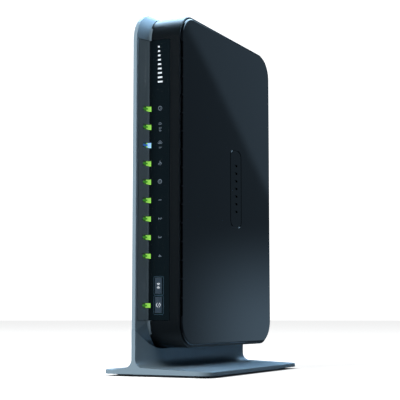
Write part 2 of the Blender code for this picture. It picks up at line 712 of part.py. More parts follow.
def make_stand_screws(parent):
    """Each screw comes up through the blade into a boss on the frame's floor."""
    seat = FOOT_BOTTOM + STAND_COUNTERBORE - GAP
    length = BODY_LIFT + STAND_BOSS_HEIGHT - WALL - MM - seat
    for name, setback in zip(("front", "rear"), STAND_SCREW_SETBACKS):
        mesh = screw_mesh(STAND_SCREW_HEAD_RADIUS, STAND_SCREW_HEAD, STAND_SCREW_RADIUS, length,
                          "z", (STAND_SCREW_X, setback, seat))
        add_object(f"stand_screw_{name}", mesh, "tinned_steel", parent)


def make_foot_pads(parent):
    profile = [(0, 0), (PAD_RADIUS - PAD_CHAMFER, 0), (PAD_RADIUS, PAD_CHAMFER),
               (PAD_RADIUS, PAD_HEIGHT), (0, PAD_HEIGHT)]
    mesh = turned_mesh("foot_pad", profile, (0, 0, 0), "z")
    sides = {"left": -FOOT_LEFT_REACH + PAD_INSET,
             "right": FOOT_WIDTH - FOOT_LEFT_REACH - PAD_INSET}
    ends = {"front": -FIN_REACH + PAD_INSET,
            "rear": FOOT_DEPTH - FIN_REACH - PAD_INSET}
    for end, y in ends.items():
        for side, x in sides.items():
            add_object(f"foot_pad_{end}_{side}", mesh, "rubber", parent, (x, y, 0))


# ---------------------------------------------------------------- front controls

def make_button(name, height, parent):
    """A cap that slides in the front wall, with a flange behind the wall that keeps it in."""
    half = BUTTON_WIDTH / 2
    flange = half + BUTTON_FLANGE
    flange_rear = CAP_DEPTH + BUTTON_FLANGE
    outline = [(-half, -BUTTON_PROUD), (half, -BUTTON_PROUD), (half, CAP_DEPTH),
               (flange, CAP_DEPTH), (flange, flange_rear), (-flange, flange_rear),
               (-flange, CAP_DEPTH), (-half, CAP_DEPTH)]
    mesh = prism_mesh(name, outline, "z", -BUTTON_HEIGHT / 2, BUTTON_HEIGHT / 2)
    return add_object(name, mesh, "button_grey", parent, (BUTTON_CENTRE_X, 0, height))


def make_button_switches(parent):
    """A tact switch behind each cap: a housing on the small board and a plunger that slides."""
    half = SWITCH_SIZE / 2
    housing_front = BUTTON_BOARD_SETBACK - GAP - SWITCH_DEPTH
    plunger_front = CAP_DEPTH + BUTTON_FLANGE + PLUNGER_PLAY
    plunger_length = housing_front + SWITCH_WELL - BUTTON_TRAVEL - GAP - plunger_front
    profile = [(0, 0), (PLUNGER_RADIUS, 0), (PLUNGER_RADIUS, plunger_length),
               (0, plunger_length)]
    plunger = turned_mesh("plunger", profile, (0, 0, 0), "y", SMALL_SIDES)
    for name, height in (("wifi", WIFI_BUTTON_Z), ("wps", WPS_BUTTON_Z)):
        housing_mesh = box_mesh("tact_switch",
                                (BUTTON_CENTRE_X - half, housing_front, height - half),
                                (BUTTON_CENTRE_X + half, housing_front + SWITCH_DEPTH,
                                 height + half))
        housing = add_object(f"{name}_switch", housing_mesh, "chip_black", parent)
        well = round_cutter(PLUNGER_RADIUS + SLIDE_GAP, (BUTTON_CENTRE_X, housing_front, height),
                            -MM, SWITCH_WELL, "y", parent)
        combine(housing, [well], "DIFFERENCE")
        add_object(f"{name}_plunger", plunger, "white_plastic", parent,
                   (BUTTON_CENTRE_X, plunger_front, height))
    low = (ON_BOARD_X, BUTTON_BOARD_SETBACK, WPS_BUTTON_Z - BUTTON_HEIGHT)
    high = (BUTTON_CENTRE_X + SWITCH_SIZE, BUTTON_BOARD_SETBACK + BOARD_THICKNESS,
            WIFI_BUTTON_Z + BUTTON_HEIGHT)
    add_object("button_board", box_mesh("button_board", low, high), "board_green", parent)


def finger_outline(rear_y):
    """A light guide finger from above; its tip follows the flare and the corner's fillet."""
    left = FLARE_END_X - LIGHT_WIDTH
    tip = [point for point in fillet_points(0) if point[0] > left]
    on_flare = (left, (left - SHELL_WALL) / FLARE_SLOPE - FIN_REACH)
    return [on_flare, *tip, (FLARE_END_X, rear_y), (left, rear_y)]


def make_light_guides(parent):
    """Clear fingers carry the light from the board's front edge to the corner windows."""
    bar_front = LIP_DEPTH + WALL + GAP
    bar_rear = BOARD_FRONT_Y - 2 * GAP
    half = LIGHT_HEIGHT / 2
    groups = {"upper_light_guide": LIGHT_HEIGHTS, "lower_light_guide": [LOWER_LIGHT_Z]}
    for name, heights in groups.items():
        low = (FLARE_END_X - LIGHT_WIDTH, bar_front, heights[0] - LIGHT_HEIGHT)
        high = (FLARE_END_X, bar_rear, heights[-1] + LIGHT_HEIGHT)
        guide = add_object(name, box_mesh(name, low, high), "light_guide", parent)
        outline = finger_outline(bar_front + MM)
        fingers = [cutter(prism_mesh("finger", outline, "z", height - half, height + half), parent)
                   for height in heights]
        combine(guide, fingers, "UNION")


def make_indicator_lights(parent):
    """One side-firing lamp for each finger, on the main board's front edge."""
    low = (ON_BOARD_X, BOARD_FRONT_Y, -LIGHT_HEIGHT / 2)
    high = (ON_BOARD_X + LAMP_THICKNESS, BOARD_FRONT_Y + LAMP_DEPTH, LIGHT_HEIGHT / 2)
    mesh = box_mesh("indicator_light", low, high)
    for number, height in enumerate([LOWER_LIGHT_Z, *LIGHT_HEIGHTS], start=1):
        add_object(f"indicator_light_{number}", mesh, "white_plastic", parent, (0, 0, height))


# ---------------------------------------------------------------- board and what it carries

def make_main_board(parent):
    """The board, notched round the frame's two screw bosses."""
    low = (BOARD_LEFT_X, BOARD_FRONT_Y, BODY_LIFT + BOARD_EDGE_GAP)
    high = (BOARD_RIGHT_X, BOARD_REAR_Y, BODY_TOP - BOARD_EDGE_GAP)
    board = add_object("main_board", box_mesh("main_board", low, high), "board_green", parent)
    cuts = [round_cutter(BOARD_SCREW_RADIUS + GAP, (0, y, z), 0, BODY_THICKNESS, "x", parent)
            for y, z in board_screw_places()]
    reach = STAND_BOSS_RADIUS + MM
    for setback in STAND_SCREW_SETBACKS:
        cuts.append(box_cutter((0, setback - reach, BODY_LIFT),
                               (BODY_THICKNESS, setback + reach,
                                BODY_LIFT + STAND_BOSS_HEIGHT + MM), parent))
    return combine(board, cuts, "DIFFERENCE")


def make_board_screws(parent):
    for name, (y, z) in zip(("upper", "middle", "lower"), board_screw_places()):
        mesh = screw_mesh(BOARD_SCREW_HEAD_RADIUS, BOARD_SCREW_HEAD, BOARD_SCREW_RADIUS,
                          -BOARD_SCREW_LENGTH, "x", (ON_BOARD_X, y, z))
        add_object(f"board_screw_{name}", mesh, "tinned_steel", parent)


def sized_box(corner, size):
    """The low and high corners of a box from its low corner and its size."""
    return corner, tuple(start + length for start, length in zip(corner, size))


def make_can(name, low, high, parent):
    """A drawn steel can, open towards the board."""
    can = add_object(name, box_mesh(name, low, high), "tinned_steel", parent)
    inner = box_cutter((low[0] - SHEET, low[1] + SHEET, low[2] + SHEET),
                       (high[0] - SHEET, high[1] - SHEET, high[2] - SHEET), parent)
    return combine(can, [inner], "DIFFERENCE")


def make_shields(parent):
    """The tuner's can ends at the coaxial connector; the radio's shield sits near the top."""
    tuner_rear = PANEL_REAR_Y - COAX_SHANK - GAP
    tuner = (ON_BOARD_X, tuner_rear - TUNER_SIZE[1], COAX_Z - TUNER_DROP)
    make_can("tuner_can", *sized_box(tuner, TUNER_SIZE), parent)
    radio = (ON_BOARD_X, RADIO_FRONT, BODY_TOP - RADIO_DROP)
    make_can("radio_shield", *sized_box(radio, RADIO_SIZE), parent)


def make_processor(parent):
    """The processor with its finned heat sink."""
    low, high = sized_box((ON_BOARD_X, CHIP_SETBACK, CHIP_Z),
                          (CHIP_THICKNESS, CHIP_SIZE, CHIP_SIZE))
    add_object("processor", box_mesh("processor", low, high), "chip_black", parent)
    mesh = heat_sink_mesh(high[0] + GAP, CHIP_SETBACK - SINK_OVERHANG, CHIP_Z - SINK_OVERHANG,
                          CHIP_SIZE + 2 * SINK_OVERHANG)
    add_object("heat_sink", mesh, "aluminium", parent)


def heat_sink_mesh(base_x, y, z, size):
    """A finned block: a comb outline seen from above, run up the height of the chip."""
    pitch = (size - SINK_FIN) / (SINK_FINS - 1)
    outline = [(base_x, y + size), (base_x, y)]
    for index in range(SINK_FINS):
        start = y + index * pitch
        if index:
            outline.append((base_x + SINK_BASE, start))
        outline += [(base_x + SINK_HEIGHT, start), (base_x + SINK_HEIGHT, start + SINK_FIN)]
        if index < SINK_FINS - 1:
            outline.append((base_x + SINK_BASE, start + SINK_FIN))
    return prism_mesh("heat_sink", outline, "z", z, z + size)


def make_capacitor(parent):
    """A can capacitor, with the groove that holds its sleeve."""
    groove = CAPACITOR_HEIGHT - CAPACITOR_RADIUS / 2
    profile = [(0, 0), (CAPACITOR_RADIUS, 0), (CAPACITOR_RADIUS, groove - CAPACITOR_GROOVE),
               (CAPACITOR_RADIUS - CAPACITOR_GROOVE, groove),
               (CAPACITOR_RADIUS, groove + CAPACITOR_GROOVE),
               (CAPACITOR_RADIUS, CAPACITOR_HEIGHT), (0, CAPACITOR_HEIGHT)]
    place = (ON_BOARD_X, BODY_DEPTH - CAPACITOR_FROM_REAR, CAPACITOR_Z)
    add_object("capacitor", turned_mesh("capacitor", profile, place, "x"), "aluminium", parent)


def make_antennas(parent):
    """Two small antenna boards stand off the main board, under the case's top."""
    z = BODY_TOP - ANTENNA_TOP_GAP - ANTENNA_SIZE[2]
    places = {"front_antenna": FRONT_ANTENNA_Y,
              "rear_antenna": BODY_DEPTH - REAR_ANTENNA_FROM_REAR}
    for name, y in places.items():
        low, high = sized_box((ON_BOARD_X + ANTENNA_OFF_BOARD, y, z), ANTENNA_SIZE)
        add_object(name, box_mesh(name, low, high), "board_green", parent)


# ---------------------------------------------------------------- rear

def jack_block_box():
    low = (ON_BOARD_X, PANEL_REAR_Y - JACK_DEPTH, LAN_HEIGHTS[0] - LAN_PITCH / 2)
    high = (ON_BOARD_X + JACK_HEIGHT, PANEL_REAR_Y, LAN_HEIGHTS[-1] + LAN_PITCH / 2)
    return low, high


def usb_box():
    half = USB_WIDTH / 2
    low = (ON_BOARD_X, PANEL_REAR_Y - USB_DEPTH, USB_Z - half)
    high = (ON_BOARD_X + USB_HEIGHT, PANEL_REAR_Y + SHEET, USB_Z + half)
    return low, high


def make_rear_panel(parent):
    """The panel with an opening for each connector and key."""
    panel = add_object("rear_panel",
                       box_mesh("rear_panel", (PANEL_LEFT_X, PANEL_FRONT_Y, PANEL_LOW_Z),
                                (PANEL_RIGHT_X, PANEL_REAR_Y, PANEL_HIGH_Z)),
                       "satin_black", parent)
    start = PANEL_FRONT_Y - MM
    end = PANEL_REAR_Y + MM
    cuts = []
    for low, high in (jack_block_box(), usb_box()):
        cuts.append(box_cutter((low[0] - GAP, start, low[2] - GAP),
                               (high[0] + GAP, end, high[2] + GAP), parent))
    half = POWER_CAP / 2 + SLIDE_GAP
    cuts.append(box_cutter((REAR_BUTTON_X - half, start, POWER_BUTTON_Z - half),
                           (REAR_BUTTON_X + half, end, POWER_BUTTON_Z + half), parent))
    for radius, x, z in ((COAX_RADIUS + GAP, COAX_X, COAX_Z),
                         (DC_BORE_RADIUS + SHEET, DC_X, DC_JACK_Z),
                         (RESET_RADIUS + GAP, REAR_BUTTON_X, RESET_Z)):
        cuts.append(round_cutter(radius, (x, 0, z), start, end, "y", parent))
    return combine(panel, cuts, "DIFFERENCE")


def make_lan_jacks(parent):
    """Four sockets moulded side by side as one housing, each with its own contacts."""
    low, high = jack_block_box()
    block = add_object("lan_jack_block", box_mesh("lan_jack_block", low, high), "chip_black",
                       parent)
    mouth_left = ON_BOARD_X + JACK_WALL
    mouth_right = mouth_left + JACK_MOUTH_HEIGHT
    back = PANEL_REAR_Y - JACK_MOUTH_DEPTH
    half = JACK_MOUTH_WIDTH / 2
    latch = half / 2
    cuts = []
    for number, height in enumerate(LAN_HEIGHTS, start=1):
        cuts.append(box_cutter((mouth_left, back, height - half),
                               (mouth_right, PANEL_REAR_Y + MM, height + half), parent))
        cuts.append(box_cutter((mouth_right - MM, back + LATCH_SETBACK, height - latch),
                               (mouth_right + LATCH_HEIGHT, PANEL_REAR_Y + MM, height + latch),
                               parent))
        mesh = contact_comb_mesh(mouth_left + CONTACT_WIRE, back + GAP, height)
        add_object(f"lan_contacts_{number}", mesh, "gold", parent)
    return combine(block, cuts, "DIFFERENCE")


def contact_comb_mesh(left, back, height):
    """Eight spring contacts on one carrier, at the closed end of a socket."""
    half = CONTACT_PITCH * CONTACT_COUNT / 2
    carrier = back + CONTACT_CARRIER
    tip = back + CONTACT_REACH
    outline = [(back, height - half), (carrier, height - half)]
    for index in range(CONTACT_COUNT):
        start = height - half + CONTACT_PITCH * index + (CONTACT_PITCH - CONTACT_WIRE) / 2
        end = start + CONTACT_WIRE
        outline += [(carrier, start), (tip, start), (tip, end), (carrier, end)]
    outline += [(carrier, height + half), (back, height + half)]
    return prism_mesh("lan_contacts", outline, "x", left, left + CONTACT_WIRE)


def coax_barrel_profile(bore):
    """A plain shank inside the case, then the thread, then a short plain end."""
    root = COAX_RADIUS - COAX_THREAD_DEPTH
    pitch = (COAX_REACH - COAX_THREAD_START - COAX_TIP) / COAX_THREADS
    profile = [(bore, -COAX_SHANK), (root, -COAX_SHANK), (root, COAX_THREAD_START)]
    for turn in range(COAX_THREADS):
        foot = COAX_THREAD_START + turn * pitch
        profile += [(COAX_RADIUS, foot + pitch / 2), (root, foot + pitch)]
    return profile + [(root, COAX_REACH), (bore, COAX_REACH)]


def make_coax_connector(parent):
    """A threaded F-type barrel with its nut, insulator and centre contact."""
    centre = (COAX_X, PANEL_REAR_Y, COAX_Z)
    bore = COAX_RADIUS - COAX_WALL
    add_object("coax_barrel", turned_mesh("coax_barrel", coax_barrel_profile(bore), centre, "y"),
               "nickel", parent)
    hexagon = arc((COAX_X, COAX_Z), NUT_FLATS / math.sqrt(3), 0, 300, 5)
    nut_start = PANEL_REAR_Y + GAP
    nut = add_object("coax_nut", prism_mesh("coax_nut", hexagon, "y", nut_start,
                                            nut_start + NUT_THICKNESS), "nickel", parent)
    combine(nut, [round_cutter(COAX_RADIUS + GAP, centre, -MM, COAX_REACH, "y", parent)],
            "DIFFERENCE")
    seat = COAX_REACH - COAX_MOUTH
    foot = -COAX_SHANK + MM
    inner = COAX_CONTACT_RADIUS + GAP
    ring = [(inner, foot), (bore - GAP, foot), (bore - GAP, seat), (inner, seat)]
    add_object("coax_insulator", turned_mesh("coax_insulator", ring, centre, "y", SMALL_SIDES),
               "white_plastic", parent)
    tip = seat - COAX_CONTACT_SETBACK
    pin = [(0, -COAX_SHANK), (COAX_CONTACT_RADIUS, -COAX_SHANK), (COAX_CONTACT_RADIUS, tip),
           (0, tip)]
    add_object("coax_contact", turned_mesh("coax_contact", pin, centre, "y", SMALL_SIDES),
               "gold", parent)


def make_dc_jack(parent):
    """A square jack with a round bore and a centre pin."""
    half = DC_WIDTH / 2
    rear = PANEL_FRONT_Y - GAP
    front = rear - DC_DEPTH
    jack = add_object("dc_jack", box_mesh("dc_jack", (DC_X - half, front, DC_JACK_Z - half),
                                          (DC_X + half, rear, DC_JACK_Z + half)),
                      "chip_black", parent)
    centre = (DC_X, front, DC_JACK_Z)
    combine(jack, [round_cutter(DC_BORE_RADIUS, centre, DC_FLOOR, DC_DEPTH + MM, "y", parent)],
            "DIFFERENCE")
    foot = DC_FLOOR + GAP
    pin = [(0, foot), (DC_PIN_RADIUS, foot), (DC_PIN_RADIUS, DC_DEPTH - DC_PIN_RADIUS),
           (DC_PIN_RADIUS / 2, DC_DEPTH), (0, DC_DEPTH)]
    add_object("dc_pin", turned_mesh("dc_pin", pin, centre, "y", SMALL_SIDES), "nickel", parent)


def make_usb_port(parent):
    """A folded steel shell round a plastic tongue."""
    low, high = usb_box()
    shell = add_object("usb_shell", box_mesh("usb_shell", low, high), "tinned_steel", parent)
    combine(shell, [box_cutter((low[0] + SHEET, low[1] + SHEET, low[2] + SHEET),
                               (high[0] - SHEET, high[1] + MM, high[2] - SHEET), parent)],
            "DIFFERENCE")
    foot = (low[0] + SHEET + GAP, low[1] + SHEET + GAP, low[2] + USB_TONGUE_MARGIN)
    tip = (foot[0] + USB_TONGUE, PANEL_REAR_Y - USB_TONGUE_SETBACK, high[2] - USB_TONGUE_MARGIN)
    add_object("usb_tongue", box_mesh("usb_tongue", foot, tip), "white_plastic", parent)


def make_power_button(parent):
    """A push cap in the rear panel, on the stem of the latching switch behind it."""
    half = POWER_CAP / 2
    stem = POWER_STEM / 2
    cap_foot = -PANEL_THICKNESS - MM
    cap = add_object("power_button", box_mesh("power_button", (-half, cap_foot, -half),
                                              (half, POWER_PROUD, half)),
                     "button_grey", parent, (REAR_BUTTON_X, PANEL_REAR_Y, POWER_BUTTON_Z))
    shank = box_mesh("stem", (-stem, cap_foot - POWER_STEM_LENGTH, -stem),
                     (stem, cap_foot + MM, stem))
    combine(cap, [add_object("stem", shank, None, parent, cap.location)], "UNION")
    width, depth, height = POWER_SWITCH_SIZE
    switch_rear = PANEL_REAR_Y + cap_foot - POWER_TRAVEL - GAP
    low, high = sized_box((ON_BOARD_X, switch_rear - depth, POWER_BUTTON_Z - height / 2),
                          (width, depth, height))
    switch = add_object("power_switch", box_mesh("power_switch", low, high), "white_plastic",
                        parent)
    room = stem + SLIDE_GAP
    well = box_cutter((REAR_BUTTON_X - room, switch_rear - POWER_STEM_LENGTH - MM,
                       POWER_BUTTON_Z - room),
                      (REAR_BUTTON_X + room, switch_rear + MM, POWER_BUTTON_Z + room), parent)
    return combine(switch, [well], "DIFFERENCE")


def make_reset_button(parent):
    """A thin plunger behind a pinhole, on a small switch."""
    front = PANEL_REAR_Y - RESET_SUNK - RESET_LENGTH
    profile = [(0, 0), (RESET_RADIUS, 0), (RESET_RADIUS, RESET_LENGTH), (0, RESET_LENGTH)]
    add_object("reset_button", turned_mesh("reset_button", profile, (0, 0, 0), "y", SMALL_SIDES),
               "white_plastic", parent, (REAR_BUTTON_X, front, RESET_Z))
    half = SWITCH_SIZE / 2
    switch_rear = front + RESET_TRAVEL + MM
    switch = add_object("reset_switch",
                        box_mesh("reset_switch",
                                 (ON_BOARD_X, switch_rear - RESET_SWITCH_DEPTH, RESET_Z - half),
                                 (REAR_BUTTON_X + half, switch_rear, RESET_Z + half)),
                        "chip_black", parent)
    well = round_cutter(RESET_RADIUS + SLIDE_GAP, (REAR_BUTTON_X, 0, RESET_Z),
                        front - RESET_TRAVEL - GAP, switch_rear + MM, "y", parent)
    return combine(switch, [well], "DIFFERENCE")


# ---------------------------------------------------------------- assembly

def main():
    clear_scene()
    modem = bpy.data.objects.new("modem", None)
    bpy.context.collection.objects.link(modem)
    make_left_shell(modem)
    make_mid_frame(modem)
    make_side_cover(modem)
    make_cover_badge(modem)
    make_front_inlay(modem)
    make_stand(modem)
    make_stand_screws(modem)
    make_foot_pads(modem)
    make_button("wifi_button", WIFI_BUTTON_Z, modem)
    make_button("wps_button", WPS_BUTTON_Z, modem)
    make_button_switches(modem)
    make_light_guides(modem)
    make_indicator_lights(modem)
    make_main_board(modem)
    make_board_screws(modem)
    make_shields(modem)
    make_processor(modem)
    make_capacitor(modem)
    make_antennas(modem)
    make_rear_panel(modem)
    make_lan_jacks(modem)
    make_coax_connector(modem)
    make_dc_jack(modem)
    make_usb_port(modem)
    make_power_button(modem)
    make_reset_button(modem)
    modem.location = (FOOT_LEFT_REACH - FOOT_WIDTH / 2, FIN_REACH - OVERALL_DEPTH / 2, 0)


main()
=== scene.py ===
"""Looks of the upright cable modem: fine shells, window, indicators, marks, finishes and stage."""

import json
import math

import bmesh
import bpy
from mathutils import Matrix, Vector


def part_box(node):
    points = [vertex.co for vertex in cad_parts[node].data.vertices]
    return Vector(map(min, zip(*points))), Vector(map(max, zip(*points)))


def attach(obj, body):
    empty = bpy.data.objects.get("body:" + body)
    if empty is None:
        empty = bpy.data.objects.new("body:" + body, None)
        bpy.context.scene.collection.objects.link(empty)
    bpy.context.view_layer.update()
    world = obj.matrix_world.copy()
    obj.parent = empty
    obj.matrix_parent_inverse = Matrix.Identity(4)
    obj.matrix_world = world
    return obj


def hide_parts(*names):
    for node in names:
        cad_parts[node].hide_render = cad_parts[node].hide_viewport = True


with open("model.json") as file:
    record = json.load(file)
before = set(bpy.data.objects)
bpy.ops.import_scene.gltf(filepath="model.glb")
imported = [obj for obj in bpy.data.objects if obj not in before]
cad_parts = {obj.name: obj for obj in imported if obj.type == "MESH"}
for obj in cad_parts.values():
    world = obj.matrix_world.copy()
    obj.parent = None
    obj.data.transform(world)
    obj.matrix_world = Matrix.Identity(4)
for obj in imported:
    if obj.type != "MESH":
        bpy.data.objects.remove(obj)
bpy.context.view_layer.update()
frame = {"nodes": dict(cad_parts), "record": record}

bl_info = {
    "name": "Upright cable modem",
    "version": (1, 0, 0),
    "blender": (4, 5, 0),
    "location": "3D View > Sidebar > Modem",
    "description": "Builds the fine pieces and finishes of an upright cable modem",
    "category": "Object",
}

MM = 0.001
CHASSIS = "chassis"


def linear(text):
    """An sRGB hex colour as linear red, green and blue."""
    channels = [int(text[start:start + 2], 16) / 255 for start in (0, 2, 4)]
    return tuple(value / 12.92 if value <= 0.04045 else ((value + 0.055) / 1.055) ** 2.4
                 for value in channels)


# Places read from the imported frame
SHELL_LOW, SHELL_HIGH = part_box("left_shell")
FRAME_LOW, FRAME_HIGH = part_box("mid_frame")
COVER_LOW, COVER_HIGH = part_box("side_cover")
BADGE_LOW, BADGE_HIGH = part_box("cover_badge")
INLAY_LOW, INLAY_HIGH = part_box("front_inlay")
STAND_LOW, STAND_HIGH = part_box("stand")
PANEL_LOW, PANEL_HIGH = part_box("rear_panel")
GAP = 0.3 * MM
SLIDE_GAP = 0.25 * MM
LEFT = SHELL_LOW.x
FIN_FRONT = SHELL_LOW.y
FRONT = FRAME_LOW.y
REAR = FRAME_HIGH.y
SHELL_WALL = FRAME_LOW.x - GAP - LEFT
FIN_REACH = FRONT - FIN_FRONT
FLARE_END = SHELL_HIGH.x
LIP_DEPTH = 2.4 * MM
BEYOND = 5.0 * MM


# ---------------------------------------------------------------- settings

def size_setting(name, description, default):
    return bpy.props.FloatProperty(name=name, description=description, default=default,
                                   unit="LENGTH")


def colour_setting(name, description, text):
    return bpy.props.FloatVectorProperty(name=name, description=description,
                                         default=linear(text), subtype="COLOR")


class ModemSizes(bpy.types.PropertyGroup):
    """Sizes that only the visible surfaces have."""
    corner: size_setting("Case corner", "Radius of the case's four corners, seen from the side", 18.0 * MM)
    fin_corner: size_setting("Fin corner", "Radius of the silver shell's upper corners", 20.0 * MM)
    wall: size_setting("Wall", "Thickness of the black frame's wall", 2.2 * MM)
    cover_round: size_setting("Cover rounding", "Rounding of the glossy cover's outer edge", 1.2 * MM)
    edge_round: size_setting("Edge rounding", "Rounding of the moulded edges", 0.45 * MM)
    badge_groove: size_setting("Badge groove", "Width of the groove round the badge", 0.8 * MM)
    window_thickness: size_setting("Window thickness", "Thickness of the smoked window", 0.8 * MM)
    print_thickness: size_setting("Print thickness", "How far printed marks stand proud", 0.03 * MM)
    stroke: size_setting("Mark stroke", "Line width of the printed marks", 0.34 * MM)
    icon: size_setting("Mark size", "Height of one printed mark", 3.1 * MM)


class ModemColours(bpy.types.PropertyGroup):
    """Colours of the finishes."""
    silver: colour_setting("Silver paint", "Shell and stand", "8497A4")
    satin: colour_setting("Satin black", "Frame and rear panel", "0D1114")
    gloss: colour_setting("Glossy black", "Cover and badge", "0C0F13")
    window: colour_setting("Smoked window", "Window over the indicators", "0A1216")
    key: colour_setting("Keys", "Press keys", "2A3641")
    print_grey: colour_setting("Print", "Small printed marks", "66727E")
    # The line round the keys is a painted highlight on the edge round each key.
    key_rim_highlight: colour_setting("Dim print", "Thin lines round the keys", "2B3F4C")
    print_white: colour_setting("White print", "The mark at the top of the window", "D8DEE4")
    green: colour_setting("Green light", "Indicators that show green", "90D256")
    blue: colour_setting("Blue light", "The indicator that shows blue", "7CA2F3")
    # The two faint colours paint the indicators' reflection along the glossy flare as a glow.
    faint_green: colour_setting("Faint green", "Green light's spill along the flare", "3A8228")
    faint_blue: colour_setting("Faint blue", "Blue light's spill along the flare", "305FA8")


class ModemStage(bpy.types.PropertyGroup):
    """The camera and the studio round the modem."""
    lens: bpy.props.FloatProperty(
        name="Lens", description="Focal length in millimetres on a 36 mm sensor", default=97.17)
    camera_place: bpy.props.FloatVectorProperty(
        name="Camera place", description="From the shell's left face, the front face and the table",
        subtype="TRANSLATION", default=(350.24 * MM, -625.4 * MM, 39.6 * MM))
    camera_turn: bpy.props.FloatProperty(
        name="Camera turn", description="Turn to the left of straight ahead", subtype="ANGLE",
        default=math.radians(26.05))
    camera_rise: bpy.props.FloatProperty(
        name="Camera rise", description="Tilt above the horizon", subtype="ANGLE",
        default=math.radians(6.09))
    surround: bpy.props.FloatProperty(
        name="Surround", description="Brightness of the dim room", default=0.025)


def sizes():
    return bpy.context.scene.modem_sizes


def colours():
    return bpy.context.scene.modem_colours


# ---------------------------------------------------------------- modelling tools

def deselect_all():
    if bpy.context.object and bpy.context.object.mode != "OBJECT":
        bpy.ops.object.mode_set(mode="OBJECT")
    bpy.ops.object.select_all(action="DESELECT")


def only(piece):
    """Makes piece the one selected, active object."""
    deselect_all()
    piece.select_set(True)
    bpy.context.view_layer.objects.active = piece
    return piece


def arc(centre, radius, start, end, steps=16):
    """Points on an arc, in degrees, both ends included."""
    points = []
    for step in range(steps + 1):
        angle = math.radians(start + (end - start) * step / steps)
        points.append((centre[0] + radius * math.cos(angle),
                       centre[1] + radius * math.sin(angle)))
    return points


def rounded_rectangle(low, high, radius, steps=16):
    corners = [((high[0] - radius, high[1] - radius), 0),
               ((low[0] + radius, high[1] - radius), 90),
               ((low[0] + radius, low[1] + radius), 180),
               ((high[0] - radius, low[1] + radius), 270)]
    return [point for centre, start in corners
            for point in arc(centre, radius, start, start + 90, steps)]


def grown(low, high, amount):
    return (low[0] - amount, low[1] - amount), (high[0] + amount, high[1] + amount)


def prism(name, outline, axis, start, end):
    """A filled circle whose points move onto the outline, extruded along x, y or z."""
    order = "xyz".index(axis)
    deselect_all()
    bpy.ops.mesh.primitive_circle_add(vertices=len(outline), radius=1, fill_type="NGON")
    piece = bpy.context.object
    piece.name = name
    for vertex, pair in zip(piece.data.vertices, outline):
        place = list(pair)
        place.insert(order, start)
        vertex.co = place
    bpy.ops.object.mode_set(mode="EDIT")
    bpy.ops.mesh.select_all(action="SELECT")
    shift = [0.0, 0.0, 0.0]
    shift[order] = end - start
    bpy.ops.mesh.extrude_region_move(TRANSFORM_OT_translate={"value": shift})
    bpy.ops.mesh.select_all(action="SELECT")
    bpy.ops.mesh.normals_make_consistent(inside=False)
    bpy.ops.object.mode_set(mode="OBJECT")
    return piece


def box(name, low, high):
    outline = [(low[0], low[1]), (high[0], low[1]), (high[0], high[1]), (low[0], high[1])]
    return prism(name, outline, "z", low[2], high[2])


def draped(name, sections):
    """A grid draped over closed sections with equal numbers of points, closed round its seam
    and capped at both ends."""
    around = len(sections[0])
    deselect_all()
    bpy.ops.mesh.primitive_grid_add(x_subdivisions=around, y_subdivisions=len(sections) - 1)
    piece = bpy.context.object
    piece.name = name
    for index, vertex in enumerate(piece.data.vertices):
        section, point = divmod(index, around + 1)
        vertex.co = sections[section][point % around]
    bpy.ops.object.mode_set(mode="EDIT")
    bpy.ops.mesh.select_all(action="SELECT")
    bpy.ops.mesh.remove_doubles(threshold=0.001 * MM)
    bpy.ops.mesh.select_all(action="DESELECT")
    bpy.ops.mesh.select_non_manifold()
    bpy.ops.mesh.edge_face_add()
    bpy.ops.mesh.select_all(action="SELECT")
    bpy.ops.mesh.normals_make_consistent(inside=False)
    bpy.ops.object.mode_set(mode="OBJECT")
    return piece


def round_edges(piece, chosen, width, segments=4):
    """Bevels the edges that chosen(edge, first point, second point) picks."""
    only(piece)
    bpy.ops.object.mode_set(mode="EDIT")
    bpy.ops.mesh.select_mode(type="EDGE")
    bpy.ops.mesh.select_all(action="DESELECT")
    mesh = bmesh.from_edit_mesh(piece.data)
    for edge in mesh.edges:
        edge.select_set(chosen(edge, edge.verts[0].co, edge.verts[1].co))
    bmesh.update_edit_mesh(piece.data)
    bpy.ops.mesh.bevel(offset=width, segments=segments, affect="EDGES", clamp_overlap=True)
    bpy.ops.object.mode_set(mode="OBJECT")
    return piece


def both_at(axis, place):
    """Picks edges that lie in one plane across an axis."""
    order = "xyz".index(axis)
    return lambda edge, first, second: (abs(first[order] - place) < 0.01 * MM
                                        and abs(second[order] - place) < 0.01 * MM)


def is_sharp(edge):
    """True where two faces meet at 40 degrees or more."""
    return len(edge.link_faces) == 2 and edge.calc_face_angle(0) > math.radians(40)


def combine(piece, others, operation):
    """Applies a Boolean for each other object, then removes it."""
    for other in others:
        only(piece)
        modifier = piece.modifiers.new(operation.lower(), "BOOLEAN")
        modifier.operation = operation
        modifier.solver = "EXACT"
        modifier.object = other
        bpy.ops.object.modifier_apply(modifier=modifier.name)
        bpy.data.objects.remove(other, do_unlink=True)
    return piece


def finish(piece, material, body=CHASSIS, angle=35):
    """Smooth shading with flat faces kept flat, one material, and the body it rides on."""
    only(piece)
    bpy.ops.object.shade_smooth_by_angle(angle=math.radians(angle))
    modifier = piece.modifiers.new("weighted", "WEIGHTED_NORMAL")
    modifier.keep_sharp = True
    bpy.ops.object.modifier_apply(modifier=modifier.name)
    piece.data.materials.clear()
    piece.data.materials.append(material)
    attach(piece, body)
    return piece


# ---------------------------------------------------------------- finishes

def add(tree, kind, settings=None, **inputs):
    """Adds a shader node with its settings; an input is a value or another node's output."""
    node = tree.nodes.new(kind)
    for name, value in (settings or {}).items():
        setattr(node, name, value)
    for name, value in inputs.items():
        socket = node.inputs[name.replace("_", " ")]
        if isinstance(value, bpy.types.NodeSocket):
            tree.links.new(value, socket)
        else:
            socket.default_value = value
    return node


def arithmetic(tree, operation, first, second):
    node = add(tree, "ShaderNodeMath", {"operation": operation})
    for socket, value in zip(node.inputs, (first, second)):
        if isinstance(value, bpy.types.NodeSocket):
            tree.links.new(value, socket)
        else:
            socket.default_value = value
    return node.outputs["Value"]


